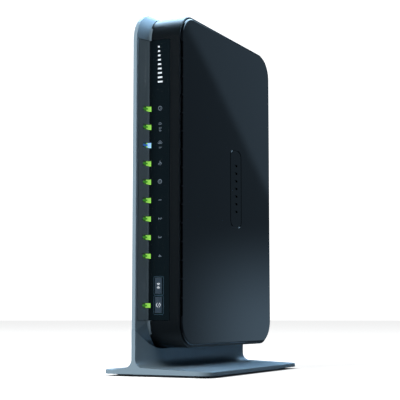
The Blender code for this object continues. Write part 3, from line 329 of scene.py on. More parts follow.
def rise(tree, value, start, end, peak):
    """A soft step from 0 at start to peak at end."""
    return add(tree, "ShaderNodeMapRange", {"interpolation_type": "SMOOTHSTEP"}, Value=value,
               From_Min=start, From_Max=end, To_Min=0.0, To_Max=peak).outputs["Result"]


def new_material(name, colour, roughness, **settings):
    """A material with its Principled shader's uniform values set on the shader itself."""
    material = bpy.data.materials.new(name)
    material.use_nodes = True
    tree = material.node_tree
    shader = tree.nodes["Principled BSDF"]
    shader.inputs["Base Color"].default_value = (*colour, 1.0)
    shader.inputs["Roughness"].default_value = roughness
    for label, value in settings.items():
        shader.inputs[label.replace("_", " ")].default_value = value
    place = add(tree, "ShaderNodeTexCoord").outputs["Object"]
    return material, tree, shader, place


def grain(tree, place, size, detail=3.0, seed=0.0):
    """Noise whose lumps are about size metres across."""
    shift = add(tree, "ShaderNodeMapping", Vector=place, Location=(seed, seed, seed))
    return add(tree, "ShaderNodeTexNoise", Vector=shift.outputs["Vector"], Scale=1 / size,
               Detail=detail).outputs["Fac"]


def vary_roughness(tree, shader, factor, low, high):
    span = add(tree, "ShaderNodeMapRange", Value=factor, To_Min=low, To_Max=high)
    span.inputs["From Min"].default_value = 0.3
    span.inputs["From Max"].default_value = 0.7
    tree.links.new(span.outputs["Result"], shader.inputs["Roughness"])


def vary_colour(tree, shader, factor, low, high):
    ramp = add(tree, "ShaderNodeMix", {"data_type": "RGBA"})
    tree.links.new(factor, ramp.inputs["Factor"])
    ramp.inputs["A"].default_value = (*low, 1.0)
    ramp.inputs["B"].default_value = (*high, 1.0)
    tree.links.new(ramp.outputs["Result"], shader.inputs["Base Color"])


def emboss(tree, shader, factor, depth, strength=1.0):
    bump = add(tree, "ShaderNodeBump", Height=factor, Distance=depth, Strength=strength)
    tree.links.new(bump.outputs["Normal"], shader.inputs["Normal"])


def tint(colour, share):
    return tuple(min(1.0, channel * share) for channel in colour)


def metallic_paint():
    """Silver-blue metallic paint sprayed over ABS: fine flakes, satin clear coat."""
    colour = colours().silver
    material, tree, shader, place = new_material("silver_metallic_paint", colour, 0.42,
                                                 Metallic=0.2, Specular_IOR_Level=0.25,
                                                 Coat_Weight=0.05, Coat_Roughness=0.35)
    flakes = grain(tree, place, 0.25 * MM, 2.0)
    vary_colour(tree, shader, flakes, tint(colour, 0.94), tint(colour, 1.06))
    vary_roughness(tree, shader, grain(tree, place, 6 * MM, 4.0, 3.0), 0.40, 0.46)
    emboss(tree, shader, grain(tree, place, 0.5 * MM), 0.004 * MM)
    return material


def satin_abs():
    """Black ABS from a spark-eroded mould: an even, fine matt grain."""
    colour = colours().satin
    material, tree, shader, place = new_material("satin_black_abs", colour, 0.38,
                                                 Specular_IOR_Level=0.45)
    pits = grain(tree, place, 0.35 * MM, 2.0)
    vary_colour(tree, shader, pits, tint(colour, 0.85), tint(colour, 1.15))
    vary_roughness(tree, shader, grain(tree, place, 9 * MM, 4.0, 5.0), 0.34, 0.42)
    emboss(tree, shader, pits, 0.01 * MM)
    return material


def polished_abs():
    """Piano-black ABS from a polished mould: mirror gloss with faint waviness and dust."""
    colour = colours().gloss
    material, tree, shader, place = new_material("polished_black_abs", colour, 0.03, IOR=1.52)
    vary_roughness(tree, shader, grain(tree, place, 14 * MM, 6.0, 2.0), 0.02, 0.04)
    vary_colour(tree, shader, grain(tree, place, 30 * MM, 2.0, 8.0), tint(colour, 0.9),
                tint(colour, 1.1))
    emboss(tree, shader, grain(tree, place, 40 * MM, 1.0), 0.02 * MM, 0.3)
    return material


def smoked_acrylic():
    """Smoked acrylic: deep and glossy; on the flare its colour is painted paler, for the silver paint
    behind it and as a painted reflection of the bright right side.
    """
    colour = colours().window
    material, tree, shader, place = new_material("smoked_acrylic", colour, 0.08, IOR=1.49,
                                                 Coat_Weight=0.3, Coat_Roughness=0.03)
    vary_roughness(tree, shader, grain(tree, place, 10 * MM, 5.0), 0.06, 0.11)
    across = add(tree, "ShaderNodeSeparateXYZ", Vector=place).outputs["X"]
    # Pale on the flare and plain on the front: the pale side is partly the silver behind the window,
    # partly a painted reflection.
    silver_and_reflection_fade = rise(tree, across, FLARE_END - FLARE_FILLET, FLARE_END - FLARE_FILLET / 3, 1.0)
    vary_colour(tree, shader, silver_and_reflection_fade, tint(colours().silver, 0.9), colour)
    return material


def key_abs():
    """Blue-grey ABS keys with a soft matt lacquer."""
    colour = colours().key
    material, tree, shader, place = new_material("key_grey_abs", colour, 0.35)
    pits = grain(tree, place, 0.3 * MM)
    vary_colour(tree, shader, pits, tint(colour, 0.92), tint(colour, 1.08))
    emboss(tree, shader, pits, 0.006 * MM)
    return material


def printed(name, colour):
    """Pad-printed ink: matt, with slightly uneven cover."""
    material, tree, shader, place = new_material(name, colour, 0.55)
    vary_colour(tree, shader, grain(tree, place, 0.6 * MM), tint(colour, 0.88),
                tint(colour, 1.08))
    return material


def lit_polycarbonate(name, colour, strength):
    """Tinted polycarbonate lit from behind: an even glow with a faintly rippled skin."""
    material, tree, shader, place = new_material(name, tint(colour, 0.35), 0.15, IOR=1.58)
    shader.inputs["Emission Color"].default_value = (*colour, 1.0)
    shader.inputs["Emission Strength"].default_value = strength
    emboss(tree, shader, grain(tree, place, 0.8 * MM), 0.01 * MM)
    return material


def rubber():
    """Moulded silicone rubber, matt black, with a dusty fine grain."""
    colour = linear("1C1D1F")
    material, tree, shader, place = new_material("black_silicone_rubber", colour, 0.85)
    pits = grain(tree, place, 0.4 * MM, 4.0)
    vary_colour(tree, shader, pits, tint(colour, 0.8), tint(colour, 1.3))
    emboss(tree, shader, pits, 0.03 * MM)
    return material


def solder_mask():
    """Green solder mask over glass-epoxy board: straight traces 0.6 mm apart show through."""
    colour = linear("14522E")
    material, tree, shader, place = new_material("green_solder_mask", colour, 0.35)
    turned = add(tree, "ShaderNodeMapping", Vector=place, Rotation=(0, math.radians(90), 0))
    traces = add(tree, "ShaderNodeTexBrick", {"offset": 0.37, "squash": 1.0},
                 Vector=turned.outputs["Vector"], Scale=1 / (6 * MM), Mortar_Size=0.05,
                 Brick_Width=1.3, Row_Height=0.2, Color1=(*tint(colour, 0.8), 1.0),
                 Color2=(*tint(colour, 1.25), 1.0), Mortar=(*tint(colour, 1.9), 1.0))
    tree.links.new(traces.outputs["Color"], shader.inputs["Base Color"])
    emboss(tree, shader, traces.outputs["Fac"], 0.03 * MM)
    return material


def natural_nylon():
    """Natural nylon and LCP mouldings: off-white, slightly waxy."""
    colour = linear("D9D6CB")
    material, tree, shader, place = new_material("natural_nylon", colour, 0.45)
    vary_colour(tree, shader, grain(tree, place, 2 * MM), tint(colour, 0.94), tint(colour, 1.03))
    emboss(tree, shader, grain(tree, place, 0.4 * MM), 0.01 * MM)
    return material


def housing_pbt():
    """Glass-filled PBT connector housings: dull black with a faint flow pattern."""
    colour = linear("1A1B1D")
    material, tree, shader, place = new_material("black_filled_pbt", colour, 0.5)
    pits = grain(tree, place, 0.5 * MM, 4.0)
    vary_colour(tree, shader, pits, tint(colour, 0.8), tint(colour, 1.3))
    emboss(tree, shader, pits, 0.015 * MM)
    return material


def plated(name, colour, roughness, streak):
    """Plated or rolled metal: streaks from rolling, drawn along z."""
    material, tree, shader, place = new_material(name, colour, roughness, Metallic=1.0)
    drawn = add(tree, "ShaderNodeMapping", Vector=place, Scale=(1.0, 1.0, 0.08))
    lines = add(tree, "ShaderNodeTexNoise", Vector=drawn.outputs["Vector"], Scale=1 / streak,
                Detail=4.0).outputs["Fac"]
    vary_roughness(tree, shader, lines, roughness * 0.8, roughness * 1.25)
    vary_colour(tree, shader, lines, tint(colour, 0.93), tint(colour, 1.04))
    emboss(tree, shader, lines, 0.004 * MM)
    return material


def carried_over_materials():
    """The finish of every CAD node that stays, by the record's slot."""
    return {
        "silver_paint": metallic_paint(),
        "satin_black": satin_abs(),
        "gloss_black": polished_abs(),
        "smoked_clear": smoked_acrylic(),
        "button_grey": key_abs(),
        "rubber": rubber(),
        "light_guide": lit_polycarbonate("green_polycarbonate", colours().green, 0.9),
        "board_green": solder_mask(),
        "white_plastic": natural_nylon(),
        "chip_black": housing_pbt(),
        "tinned_steel": plated("tin_plated_steel", linear("BFC1C3"), 0.32, 0.5 * MM),
        "nickel": plated("bright_nickel", linear("C9C5BC"), 0.22, 0.4 * MM),
        "gold": plated("gold_flash", linear("D9A441"), 0.25, 0.3 * MM),
        "aluminium": plated("plain_aluminium", linear("B4B6B9"), 0.38, 0.6 * MM),
    }


FINISHES = {}


# ---------------------------------------------------------------- shells

FLARE_SLOPE = 0.38
FLARE_FILLET = 1.9 * MM
FLARE_ANGLE = math.atan2(1.0, FLARE_SLOPE)
SEAM_DEPTH = 22.3 * MM
SEAM_RISE = SHELL_LOW.z + 12.3 * MM
SEAM_GAP = 0.05 * MM
LIGHT_WIDTH = 3.0 * MM
TIP_PROUD = 0.15 * MM


def seam_z(y):
    """Height of the seam between shell and stand."""
    share = max(0.0, (FIN_FRONT + SEAM_DEPTH - y) / SEAM_DEPTH)
    return SHELL_LOW.z + (SEAM_RISE - SHELL_LOW.z) * share * share


def fillet_points(depth, steps=10):
    """The fillet between flare and front face, seen from above and sunk by depth."""
    centre = (FLARE_END, FRONT - FLARE_FILLET)
    return arc(centre, FLARE_FILLET + depth, 90 + math.degrees(FLARE_ANGLE), 90, steps)


def flare_point(setback, depth):
    """A point on the flare, set back from the fin's front edge and sunk by depth."""
    return (LEFT + SHELL_WALL + FLARE_SLOPE * setback - math.sin(FLARE_ANGLE) * depth,
            FIN_FRONT + setback + math.cos(FLARE_ANGLE) * depth)


def window_recess(name):
    """The step that the smoked window lies in."""
    sink = sizes().window_thickness + GAP
    setback = INLAY_LOW.y - FIN_FRONT - GAP
    right = INLAY_HIGH.x + GAP
    outline = [flare_point(setback, -FIN_REACH), flare_point(setback, sink),
               *fillet_points(sink), (right, FRONT + sink), (right, FRONT - FIN_REACH)]
    return prism(name, outline, "z", INLAY_LOW.z - GAP, INLAY_HIGH.z + GAP)


def lights():
    """The ten indicators' boxes, lowest first."""
    return [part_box(f"indicator_light_{number}") for number in range(1, 11)]


def light_slots():
    slots = []
    for low, high in lights():
        slots.append(box("slot", (FLARE_END - LIGHT_WIDTH - GAP, FIN_FRONT - MM, low.z - GAP),
                         (FLARE_END + GAP, FRONT + 2 * sizes().wall, high.z + GAP)))
    return slots


KEYS = ("wifi_button", "wps_button")
KEY_FLANGE = 1.0 * MM


def key_box(node, clearance, start, end):
    low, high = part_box(node)
    return box("key_hole", (low.x + KEY_FLANGE - clearance, start, low.z - clearance),
               (high.x - KEY_FLANGE + clearance, end, high.z + clearance))


def blend(start, end, share):
    return tuple(first + (second - first) * share for first, second in zip(start, end))


def shell_outline(share, steps=24):
    """The shell's outline in (y, z), from the plate's face (0) to the case's front (1)."""
    corner = sizes().corner
    radius = sizes().fin_corner + (corner - sizes().fin_corner) * share
    front = FIN_FRONT + FIN_REACH * share
    top = SHELL_HIGH.z + (FRAME_HIGH.z - SHELL_HIGH.z) * share
    case_corner = arc((FRONT + corner, FRAME_LOW.z + corner), corner, 270, 180, steps)
    points = []
    for step, case_point in enumerate(case_corner):
        y = FIN_FRONT + SEAM_DEPTH * (1 - step / steps)
        points.append(blend((y, seam_z(y)), case_point, share))
    points += arc((front + radius, top - radius), radius, 180, 90, steps)
    points += arc((REAR - radius, top - radius), radius, 90, 0, steps)
    points += arc((REAR - corner, SHELL_LOW.z + corner), corner, 0, -90, steps)
    return points


def shell_room_outline(steps=24):
    """The space inside the shell in (y, z), from behind the front lip and open below."""
    corner = sizes().corner
    reach = corner + GAP
    front, rear = FRONT + corner, REAR - corner
    low, high = FRAME_LOW.z + corner, FRAME_HIGH.z - corner
    seam_end = FIN_FRONT + SEAM_DEPTH
    lip = math.degrees(math.acos((front - FRONT - LIP_DEPTH) / reach))
    seam = math.degrees(math.acos((front - seam_end) / reach))
    return [*arc((rear, high), reach, 0, 90, steps),
            *arc((front, high), reach, 90, 180 - lip, steps),
            *arc((front, low), reach, 180 + lip, 180 + seam, steps),
            (seam_end, SHELL_LOW.z - BEYOND), (rear + reach, SHELL_LOW.z - BEYOND)]


class MODEM_OT_shell(bpy.types.Operator):
    """Silver left shell: a flat plate whose front edge flares back into the case"""
    bl_idname = "modem.shell"
    bl_label = "Left shell"

    def execute(self, context):
        inner = LEFT + SHELL_WALL
        stations = [(LEFT, 0), (inner, 0)]
        stations += [(x, (y - FIN_FRONT) / FIN_REACH) for x, y in fillet_points(0)]
        shell = draped("silver_shell", [[(x, y, z) for y, z in shell_outline(share)]
                                        for x, share in stations])
        room = prism("room", shell_room_outline(), "x", inner, FLARE_END + BEYOND)
        combine(shell, [room, window_recess("recess"), *light_slots()], "DIFFERENCE")
        rims = (both_at("x", LEFT), both_at("y", FIN_FRONT))
        round_edges(shell, lambda edge, first, second: is_sharp(edge)
                    and any(rim(edge, first, second) for rim in rims), sizes().edge_round, 3)
        finish(shell, FINISHES["silver_paint"])
        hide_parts("left_shell")
        return {"FINISHED"}


class MODEM_OT_frame(bpy.types.Operator):
    """Black frame: the band round the case, its front face and the rear window"""
    bl_idname = "modem.frame"
    bl_label = "Frame"

    def execute(self, context):
        wall = sizes().wall
        low = (FRONT, FRAME_LOW.z)
        high = (REAR, FRAME_HIGH.z)
        corner = sizes().corner
        hoop = prism("black_frame", rounded_rectangle(low, high, corner, 24), "x", FRAME_LOW.x,
                     FRAME_HIGH.x)
        round_edges(hoop, both_at("x", FRAME_HIGH.x), sizes().edge_round, 4)
        inner = grown(low, high, -wall)
        hollow = prism("hollow", rounded_rectangle(*inner, corner - wall, 24), "x",
                       FRAME_LOW.x - BEYOND, FRAME_HIGH.x + BEYOND)
        notch = box("notch", (LEFT, FRONT - BEYOND, FRAME_LOW.z - BEYOND),
                    (FLARE_END + GAP, FRONT + wall + 0.5 * MM, FRAME_HIGH.z + BEYOND))
        panel = box("panel_window", (PANEL_LOW.x - GAP, REAR - 2 * wall, PANEL_LOW.z - GAP),
                    (PANEL_HIGH.x + GAP, REAR + BEYOND, PANEL_HIGH.z + GAP))
        keys = [key_box(node, SLIDE_GAP, FRONT - BEYOND, FRONT + 2 * wall)
                for node in KEYS]
        combine(hoop, [hollow, notch, window_recess("recess"), panel, *keys], "DIFFERENCE")
        finish(hoop, FINISHES["satin_black"])
        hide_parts("mid_frame")
        return {"FINISHED"}


VENT_COUNT = 15
VENT_PITCH = 12.2 * MM
VENT_RIB = 1.0 * MM
VENT_DEPTH = 1.2 * MM
VENT_WIDTH = 1.3 * MM
VENT_LOWEST = 39.1 * MM
GROOVE_ROUND = 0.12 * MM
BADGE_ROUND = 0.2 * MM


class MODEM_OT_cover(bpy.types.Operator):
    """Glossy cover with its vents in the front edge, and the badge with seven pressed marks"""
    bl_idname = "modem.cover"
    bl_label = "Cover"

    def execute(self, context):
        radius = sizes().corner - (COVER_LOW.y - FRONT)
        outline = rounded_rectangle((COVER_LOW.y, COVER_LOW.z), (COVER_HIGH.y, COVER_HIGH.z),
                                    radius, 24)
        cover = prism("glossy_cover", outline, "x", COVER_LOW.x, COVER_HIGH.x)
        round_edges(cover, both_at("x", COVER_HIGH.x), sizes().cover_round, 6)
        cuts = []
        for index in range(VENT_COUNT):
            foot = VENT_LOWEST + index * VENT_PITCH
            cuts.append(box("vent", (COVER_LOW.x - MM, COVER_LOW.y - MM, foot),
                            (COVER_LOW.x + VENT_WIDTH, COVER_LOW.y + VENT_DEPTH,
                             foot + VENT_PITCH - VENT_RIB)))
        badge_low, badge_high = (BADGE_LOW.y, BADGE_LOW.z), (BADGE_HIGH.y, BADGE_HIGH.z)
        badge_radius = (BADGE_HIGH.y - BADGE_LOW.y) / 4
        groove = sizes().badge_groove
        recess_low, recess_high = grown(badge_low, badge_high, groove)
        recess = rounded_rectangle(recess_low, recess_high, badge_radius + groove)
        cuts.append(prism("recess", recess, "x", BADGE_LOW.x - GAP, COVER_HIGH.x + MM))
        combine(cover, cuts, "DIFFERENCE")
        on_face = both_at("x", COVER_HIGH.x)
        round_edges(cover, lambda edge, first, second: on_face(edge, first, second)
                    and recess_low[1] - MM < first.z < recess_high[1] + MM
                    and recess_low[0] - MM < first.y < recess_high[0] + MM, GROOVE_ROUND, 2)
        finish(cover, FINISHES["gloss_black"])
        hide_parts("side_cover")
        badge = prism("raised_badge", rounded_rectangle(badge_low, badge_high, badge_radius),
                      "x", BADGE_LOW.x, BADGE_HIGH.x)
        round_edges(badge, both_at("x", BADGE_HIGH.x), BADGE_ROUND, 3)
        combine(badge, self.pressed_marks(), "DIFFERENCE")
        finish(badge, FINISHES["gloss_black"])
        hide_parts("cover_badge")
        return {"FINISHED"}

    def pressed_marks(self):
        """Seven short grooves in a column: a plain pattern, not lettering."""
        count = 7
        pitch = 5.6 * MM
        half_width = 2.6 * MM
        half_height = 0.8 * MM
        depth = 0.5 * MM
        middle = (BADGE_LOW + BADGE_HIGH) / 2
        marks = []
        for index in range(count):
            height = middle.z + (index - (count - 1) / 2) * pitch
            outline = rounded_rectangle((middle.y - half_width, height - half_height),
                                        (middle.y + half_width, height + half_height),
                                        half_height * 0.98, 6)
            marks.append(prism("mark", outline, "x", BADGE_HIGH.x - depth,
                               BADGE_HIGH.x + MM))
        return marks


class MODEM_OT_window(bpy.types.Operator):
    """Smoked window that wraps from the flare round the corner onto the front face"""
    bl_idname = "modem.window"
    bl_label = "Window"

    def execute(self, context):
        depth = sizes().window_thickness
        setback = INLAY_LOW.y - FIN_FRONT
        outline = [flare_point(setback, 0), *fillet_points(0), (INLAY_HIGH.x, FRONT),
                   (INLAY_HIGH.x, FRONT + depth), *reversed(fillet_points(depth)),
                   flare_point(setback, depth)]
        window = prism("smoked_window", outline, "z", INLAY_LOW.z, INLAY_HIGH.z)
        keys = [key_box(node, SLIDE_GAP, FRONT - MM, FRONT + 2 * MM)
                for node in KEYS]
        combine(window, [*keys, *light_slots()], "DIFFERENCE")
        finish(window, FINISHES["smoked_clear"])
        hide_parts("front_inlay")
        return {"FINISHED"}


# ---------------------------------------------------------------- stand

FOOT_CORNER = 10.0 * MM
FOOT_EDGE = 2.7 * MM
FOOT_CROWN = 4.1 * MM
FOOT_FILLET = 5.5 * MM
FOOT_RIM_ROUND = 0.6 * MM
FOOT_END_ROUND = 0.35 * MM
BLADE_WIDTH = 11.2 * MM
BLADE_EASE = 27.3 * MM


def blade_right(y):
    share = min(1.0, (y - FIN_FRONT) / BLADE_EASE)
    return LEFT + SHELL_WALL + (BLADE_WIDTH - SHELL_WALL) * math.sin(share * math.pi / 2)


def stand_section(y):
    """Foot, fillets and blade as one closed outline across the depth at y."""
    from_end = max(0.0, min(y - FIN_FRONT, STAND_HIGH.y - y))
    reach = FOOT_CORNER - min(from_end, FOOT_CORNER)
    inset = FOOT_CORNER - math.sqrt(FOOT_CORNER ** 2 - reach ** 2)
    left = STAND_LOW.x + inset
    right = STAND_HIGH.x - inset
    low = STAND_LOW.z
    rim = low + FOOT_EDGE
    crown = low + FOOT_CROWN
    blade = blade_right(y)
    top = seam_z(y) - SEAM_GAP
    right_rim = arc((right - FOOT_RIM_ROUND, rim - FOOT_RIM_ROUND), FOOT_RIM_ROUND, 0, 90, 4)
    left_rim = arc((left + FOOT_RIM_ROUND, rim - FOOT_RIM_ROUND), FOOT_RIM_ROUND, 90, 180, 4)
    right_fillet = arc((blade + FOOT_FILLET, crown + FOOT_FILLET), FOOT_FILLET, 270, 180, 10)
    left_fillet = arc((LEFT - FOOT_FILLET, crown + FOOT_FILLET), FOOT_FILLET, 360, 270, 10)
    pairs = [(left, low), (right, low), *right_rim, *right_fillet, (blade, top), (LEFT, top),
             *left_fillet, *left_rim]
    return [(x, y, z) for x, z in pairs]


def stand_depths():
    """Depths of the sections: close together round the corners and along the seam."""
    depths = set()
    for step in range(13):
        inset = FOOT_CORNER * (1 - math.cos(math.pi / 2 * step / 12))
        depths.add(round(FIN_FRONT + inset, 6))
        depths.add(round(STAND_HIGH.y - inset, 6))
    for step in range(1, 12):
        depths.add(round(FIN_FRONT + FOOT_CORNER + (BLADE_EASE - FOOT_CORNER) * step / 11, 6))
    for step in range(9):
        depths.add(round(FIN_FRONT + BLADE_EASE + (STAND_HIGH.y - FOOT_CORNER - FIN_FRONT
                                                   - BLADE_EASE) * step / 9, 6))
    return sorted(depths)


class MODEM_OT_stand(bpy.types.Operator):
    """Stand: a thin blade under the case, swept out into a flat foot"""
    bl_idname = "modem.stand"
    bl_label = "Stand"

    def execute(self, context):
        depths = stand_depths()
        stand = draped("blade_stand", [stand_section(y) for y in depths])
        ends = (both_at("y", depths[0]), both_at("y", depths[-1]))
        round_edges(stand, lambda edge, first, second:
                    any(end(edge, first, second) for end in ends), FOOT_END_ROUND, 3)
        holes = []
        for node in ("stand_screw_front", "stand_screw_rear"):
            low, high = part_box(node)
            middle = (low + high) / 2
            radius = (high.x - low.x) / 2 + GAP
            holes.append(prism("screw_pocket", arc((middle.x, middle.y), radius, 0, 345, 23),
                               "z", STAND_LOW.z - MM, low.z + 2 * MM + GAP))
        combine(stand, holes, "DIFFERENCE")
        finish(stand, FINISHES["silver_paint"], angle=30)
        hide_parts("stand")
        return {"FINISHED"}


# ---------------------------------------------------------------- indicators and keys

class MODEM_OT_lights(bpy.types.Operator):
    """Ten lit tips in the corner between flare and front face, each with a faint glowing trace along
    the flare, a painted reflection of the tip in the glossy flare; the third from the top is blue"""
    bl_idname = "modem.lights"
    bl_label = "Indicators"

    def execute(self, context):
        blue = (lit_polycarbonate("blue_polycarbonate", colours().blue, 1.7),
                lit_polycarbonate("painted_blue_reflection_glow", colours().faint_blue, 0.9))
        green = (FINISHES["light_guide"],
                 lit_polycarbonate("painted_green_reflection_glow", colours().faint_green, 0.9))
        left = FLARE_END - LIGHT_WIDTH
        back = FRONT + 2 * sizes().wall
        setback = (left - LEFT - SHELL_WALL - math.sin(FLARE_ANGLE) * TIP_PROUD) / FLARE_SLOPE
        fillet = fillet_points(-TIP_PROUD, 24)
        tip = [*fillet, (FLARE_END, back), (fillet[0][0], back)]
        trace = [flare_point(setback, -TIP_PROUD), fillet[0], (fillet[0][0], back), (left, back)]
        boxes = lights()
        blue_number = len(boxes) - 2
        for number, (low, high) in enumerate(boxes, start=1):
            bright, faint = blue if number == blue_number else green
            trace_inset = (high.z - low.z) * 0.3
            lens = prism(f"indicator_tip_{number}", tip, "z", low.z, high.z)
            round_edges(lens, lambda edge, first, second: max(first.y, second.y) < FRONT
                        and abs(first.z - second.z) < 0.01 * MM, TIP_PROUD, 2)
            finish(lens, bright)
            # The trace glows on the flare: a painted reflection of the lit tip, not a lit part.
            line = prism(f"indicator_trace_{number}", trace, "z", low.z + trace_inset,
                         high.z - trace_inset)
            finish(line, faint)
        return {"FINISHED"}


def on_front(place, mark):
    """Puts a mark's (across, up) point on the front face, turned a quarter clockwise."""
    return place[0] + mark[1], place[1] - mark[0]


def band(points, width):
    """The outline of a line of some width along points."""
    sides = ([], [])
    for index, point in enumerate(points):
        before = Vector(points[max(0, index - 1)])
        after = Vector(points[min(len(points) - 1, index + 1)])
        along = (after - before).normalized()
        across = Vector((-along.y, along.x)) * width / 2
        sides[0].append(tuple(Vector(point) + across))
        sides[1].append(tuple(Vector(point) - across))
    return sides[0] + sides[1][::-1]


def mark_strokes(kind, size):
    """The strokes of one printed mark as lines of points, centred on (0, 0)."""
    half = size / 2
    ring = arc((0, 0), half * 0.85, 0, 350, 24)
    strokes = {
        "power": [arc((0, 0), half * 0.85, 125, 415, 20), [(0, half * 0.1), (0, half * 1.1)]],
        "near_wave": [arc((-half, 0), size * share, -40, 40, 8) for share in (0.35, 0.65)],
        "far_wave": [arc((-half, 0), size * share, -40, 40, 8) for share in (0.3, 0.58, 0.86)],
        "plug": [[(-half, 0), (half, 0)], [(-half * 0.4, 0), (0, half * 0.7), (half * 0.5, half * 0.7)],
                 [(-half * 0.1, 0), (half * 0.3, -half * 0.7), (half * 0.7, -half * 0.7)]],
        "globe": [ring, [(-half * 0.8, 0), (half * 0.8, 0)]],
        "radio": [arc((0, 0), half * share, start, start + 90, 6)
                  for share in (0.55, 1.0) for start in (-45, 135)],
        "pair": [arc((0, 0), half * 0.9, 20, 160, 10), arc((0, 0), half * 0.9, 200, 340, 10),
                 [(-half * 0.3, 0), (half * 0.3, 0)]],
    }
    return strokes[kind]


def print_mark(name, strokes, place, width, y, material, body=CHASSIS):
    """Prints strokes on the face at y as one raised piece."""
    pieces = []
    for points in strokes:
        outline = [on_front(place, point) for point in band(points, width)]
        pieces.append(prism(name, outline, "y", y, y - sizes().print_thickness))
    only(pieces[0])
    for piece in pieces[1:]:
        piece.select_set(True)
    if len(pieces) > 1:
        bpy.ops.object.join()
    mark = bpy.context.object
    mark.name = name
    finish(mark, material, body)
    return mark


def print_digit(name, digit, place, material, size):
    """Prints digits, turned a quarter clockwise."""
    deselect_all()
    bpy.ops.object.text_add(location=(0, 0, 0))
    text = bpy.context.object
    text.data.body = digit
    text.data.align_x = "CENTER"
    text.data.align_y = "CENTER"
    text.data.size = size
    text.data.extrude = sizes().print_thickness / 2
    bpy.ops.object.convert(target="MESH")
    mark = bpy.context.object
    mark.name = name
    y = FRONT - sizes().print_thickness / 2
    for vertex in mark.data.vertices:
        across, up, out = vertex.co
        x, z = on_front(place, (across, up))
        vertex.co = (x, y - out, z)
    bpy.ops.object.mode_set(mode="EDIT")
    bpy.ops.mesh.select_all(action="SELECT")
    bpy.ops.mesh.remove_doubles(threshold=0.001 * MM)
    bpy.ops.mesh.normals_make_consistent(inside=False)
    bpy.ops.object.mode_set(mode="OBJECT")
    finish(mark, material)
    return mark


MARK_COLUMN = 15.0 * MM


class MODEM_OT_marks(bpy.types.Operator):
    """Printed marks beside the indicators, and a plain row of bars above them"""
    bl_idname = "modem.marks"
    bl_label = "Printed marks"

    def execute(self, context):
        grey = printed("grey_pad_print", colours().print_grey)
        white = printed("white_pad_print", colours().print_white)
        heights = [(low.z + high.z) / 2 for low, high in lights()[1:]][::-1]
        icon = sizes().icon
        kinds = ["power", "near_wave", "far_wave", "plug", "globe", "1", "2", "3", "4"]
        bands = {"near_wave": "2.4", "far_wave": "5"}
        x = LEFT + MARK_COLUMN
        for kind, height in zip(kinds, heights):
            if kind.isdigit():
                print_digit(f"print_digit_{kind}", kind, (x, height), grey, icon * 1.1)
                continue
            lift = icon * 0.6 if kind in bands else 0
            print_mark(f"print_{kind}", mark_strokes(kind, icon), (x, height + lift),
                       sizes().stroke, FRONT, grey)
            if kind in bands:
                print_digit(f"print_{kind}_band", bands[kind], (x, height - lift), grey,
                            icon * 0.8)
        self.top_bars(white, x)
        # The lines round the keys are a painted highlight on the edge round each key, laid on as print.
        self.key_outlines(printed("painted_key_rim_highlight", colours().key_rim_highlight))
        return {"FINISHED"}

    def top_bars(self, material, x):
        """Nine bars that rise in even steps: a plain ornament."""
        length = 24.0 * MM
        tall = 3.6 * MM
        middle = 206.8 * MM
        bars = 9
        strokes = []
        for index in range(bars):
            across = length * (index / (bars - 1) - 0.5)
            height = tall * (0.35 + 0.65 * index / (bars - 1))
            strokes.append([(across, -tall / 2), (across, -tall / 2 + height)])
        print_mark("print_bars", strokes, (x, middle), 1.1 * MM, FRONT, material)

    def key_outlines(self, material):
        """A thin line round each key, laid on as print: a painted highlight where the edge round each key
        catches light.
        """
        margin = 0.9 * MM
        for node in KEYS:
            low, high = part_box(node)
            middle = (low + high) / 2
            half_width = (high.x - low.x) / 2 - KEY_FLANGE + margin
            half_height = (high.z - low.z) / 2 + margin - 0.2 * MM
            line = rounded_rectangle((-half_height, -half_width), (half_height, half_width),
                                     margin, 4)
            start = blend(line[0], line[-1], 0.5)
            print_mark(f"{node}_outline", [[start, *line, start]], (middle.x, middle.z),
                       0.3 * MM, FRONT, material)


class MODEM_OT_keys(bpy.types.Operator):
    """The two front keys with softened edges and their printed marks"""
    bl_idname = "modem.keys"
    bl_label = "Front keys"

    def execute(self, context):
        pale = printed("pale_pad_print", colours().print_white)
        for node, body, kind in zip(KEYS, ("wifi_key", "wps_key"), ("radio", "pair")):
            low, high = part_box(node)
            cap = box(f"{node}_cap", (low.x + KEY_FLANGE, low.y, low.z),
                      (high.x - KEY_FLANGE, high.y - KEY_FLANGE, high.z))
            round_edges(cap, both_at("y", low.y), 0.3 * MM, 3)
            finish(cap, FINISHES["button_grey"], body)
            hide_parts(node)
            middle = (low + high) / 2
            print_mark(f"{node}_print", mark_strokes(kind, sizes().icon), (middle.x, middle.z),
                       sizes().stroke, low.y, pale, body)
        return {"FINISHED"}


class MODEM_OT_finishes(bpy.types.Operator):
    """Gives every CAD node that still shows its finish"""
    bl_idname = "modem.finishes"
    bl_label = "Finishes"

    def execute(self, context):
        slots = {row["node"]: row["material_slot"] for row in frame["record"]["subparts"]}
        for name, piece in frame["nodes"].items():
            if piece.hide_render:
                continue
            piece.data.materials.clear()
            piece.data.materials.append(FINISHES[slots[name]])
        return {"FINISHED"}


# ---------------------------------------------------------------- stage

DOME = 5.0
ROOM_LIGHT = 0.03
DUSK_LIGHT = 0.085
CARD_LIGHT = 9.0
SIDE_LIGHT = 0.25
LOW_LIGHT = 0.49
PATCH_LIGHT = 0.15
PATCH_SLOPE = 2.86
TABLE_LIGHT = 0.85
# Width of the painted contact shadow round the foot
PAINTED_SHADOW_FADE = 5.0 * MM


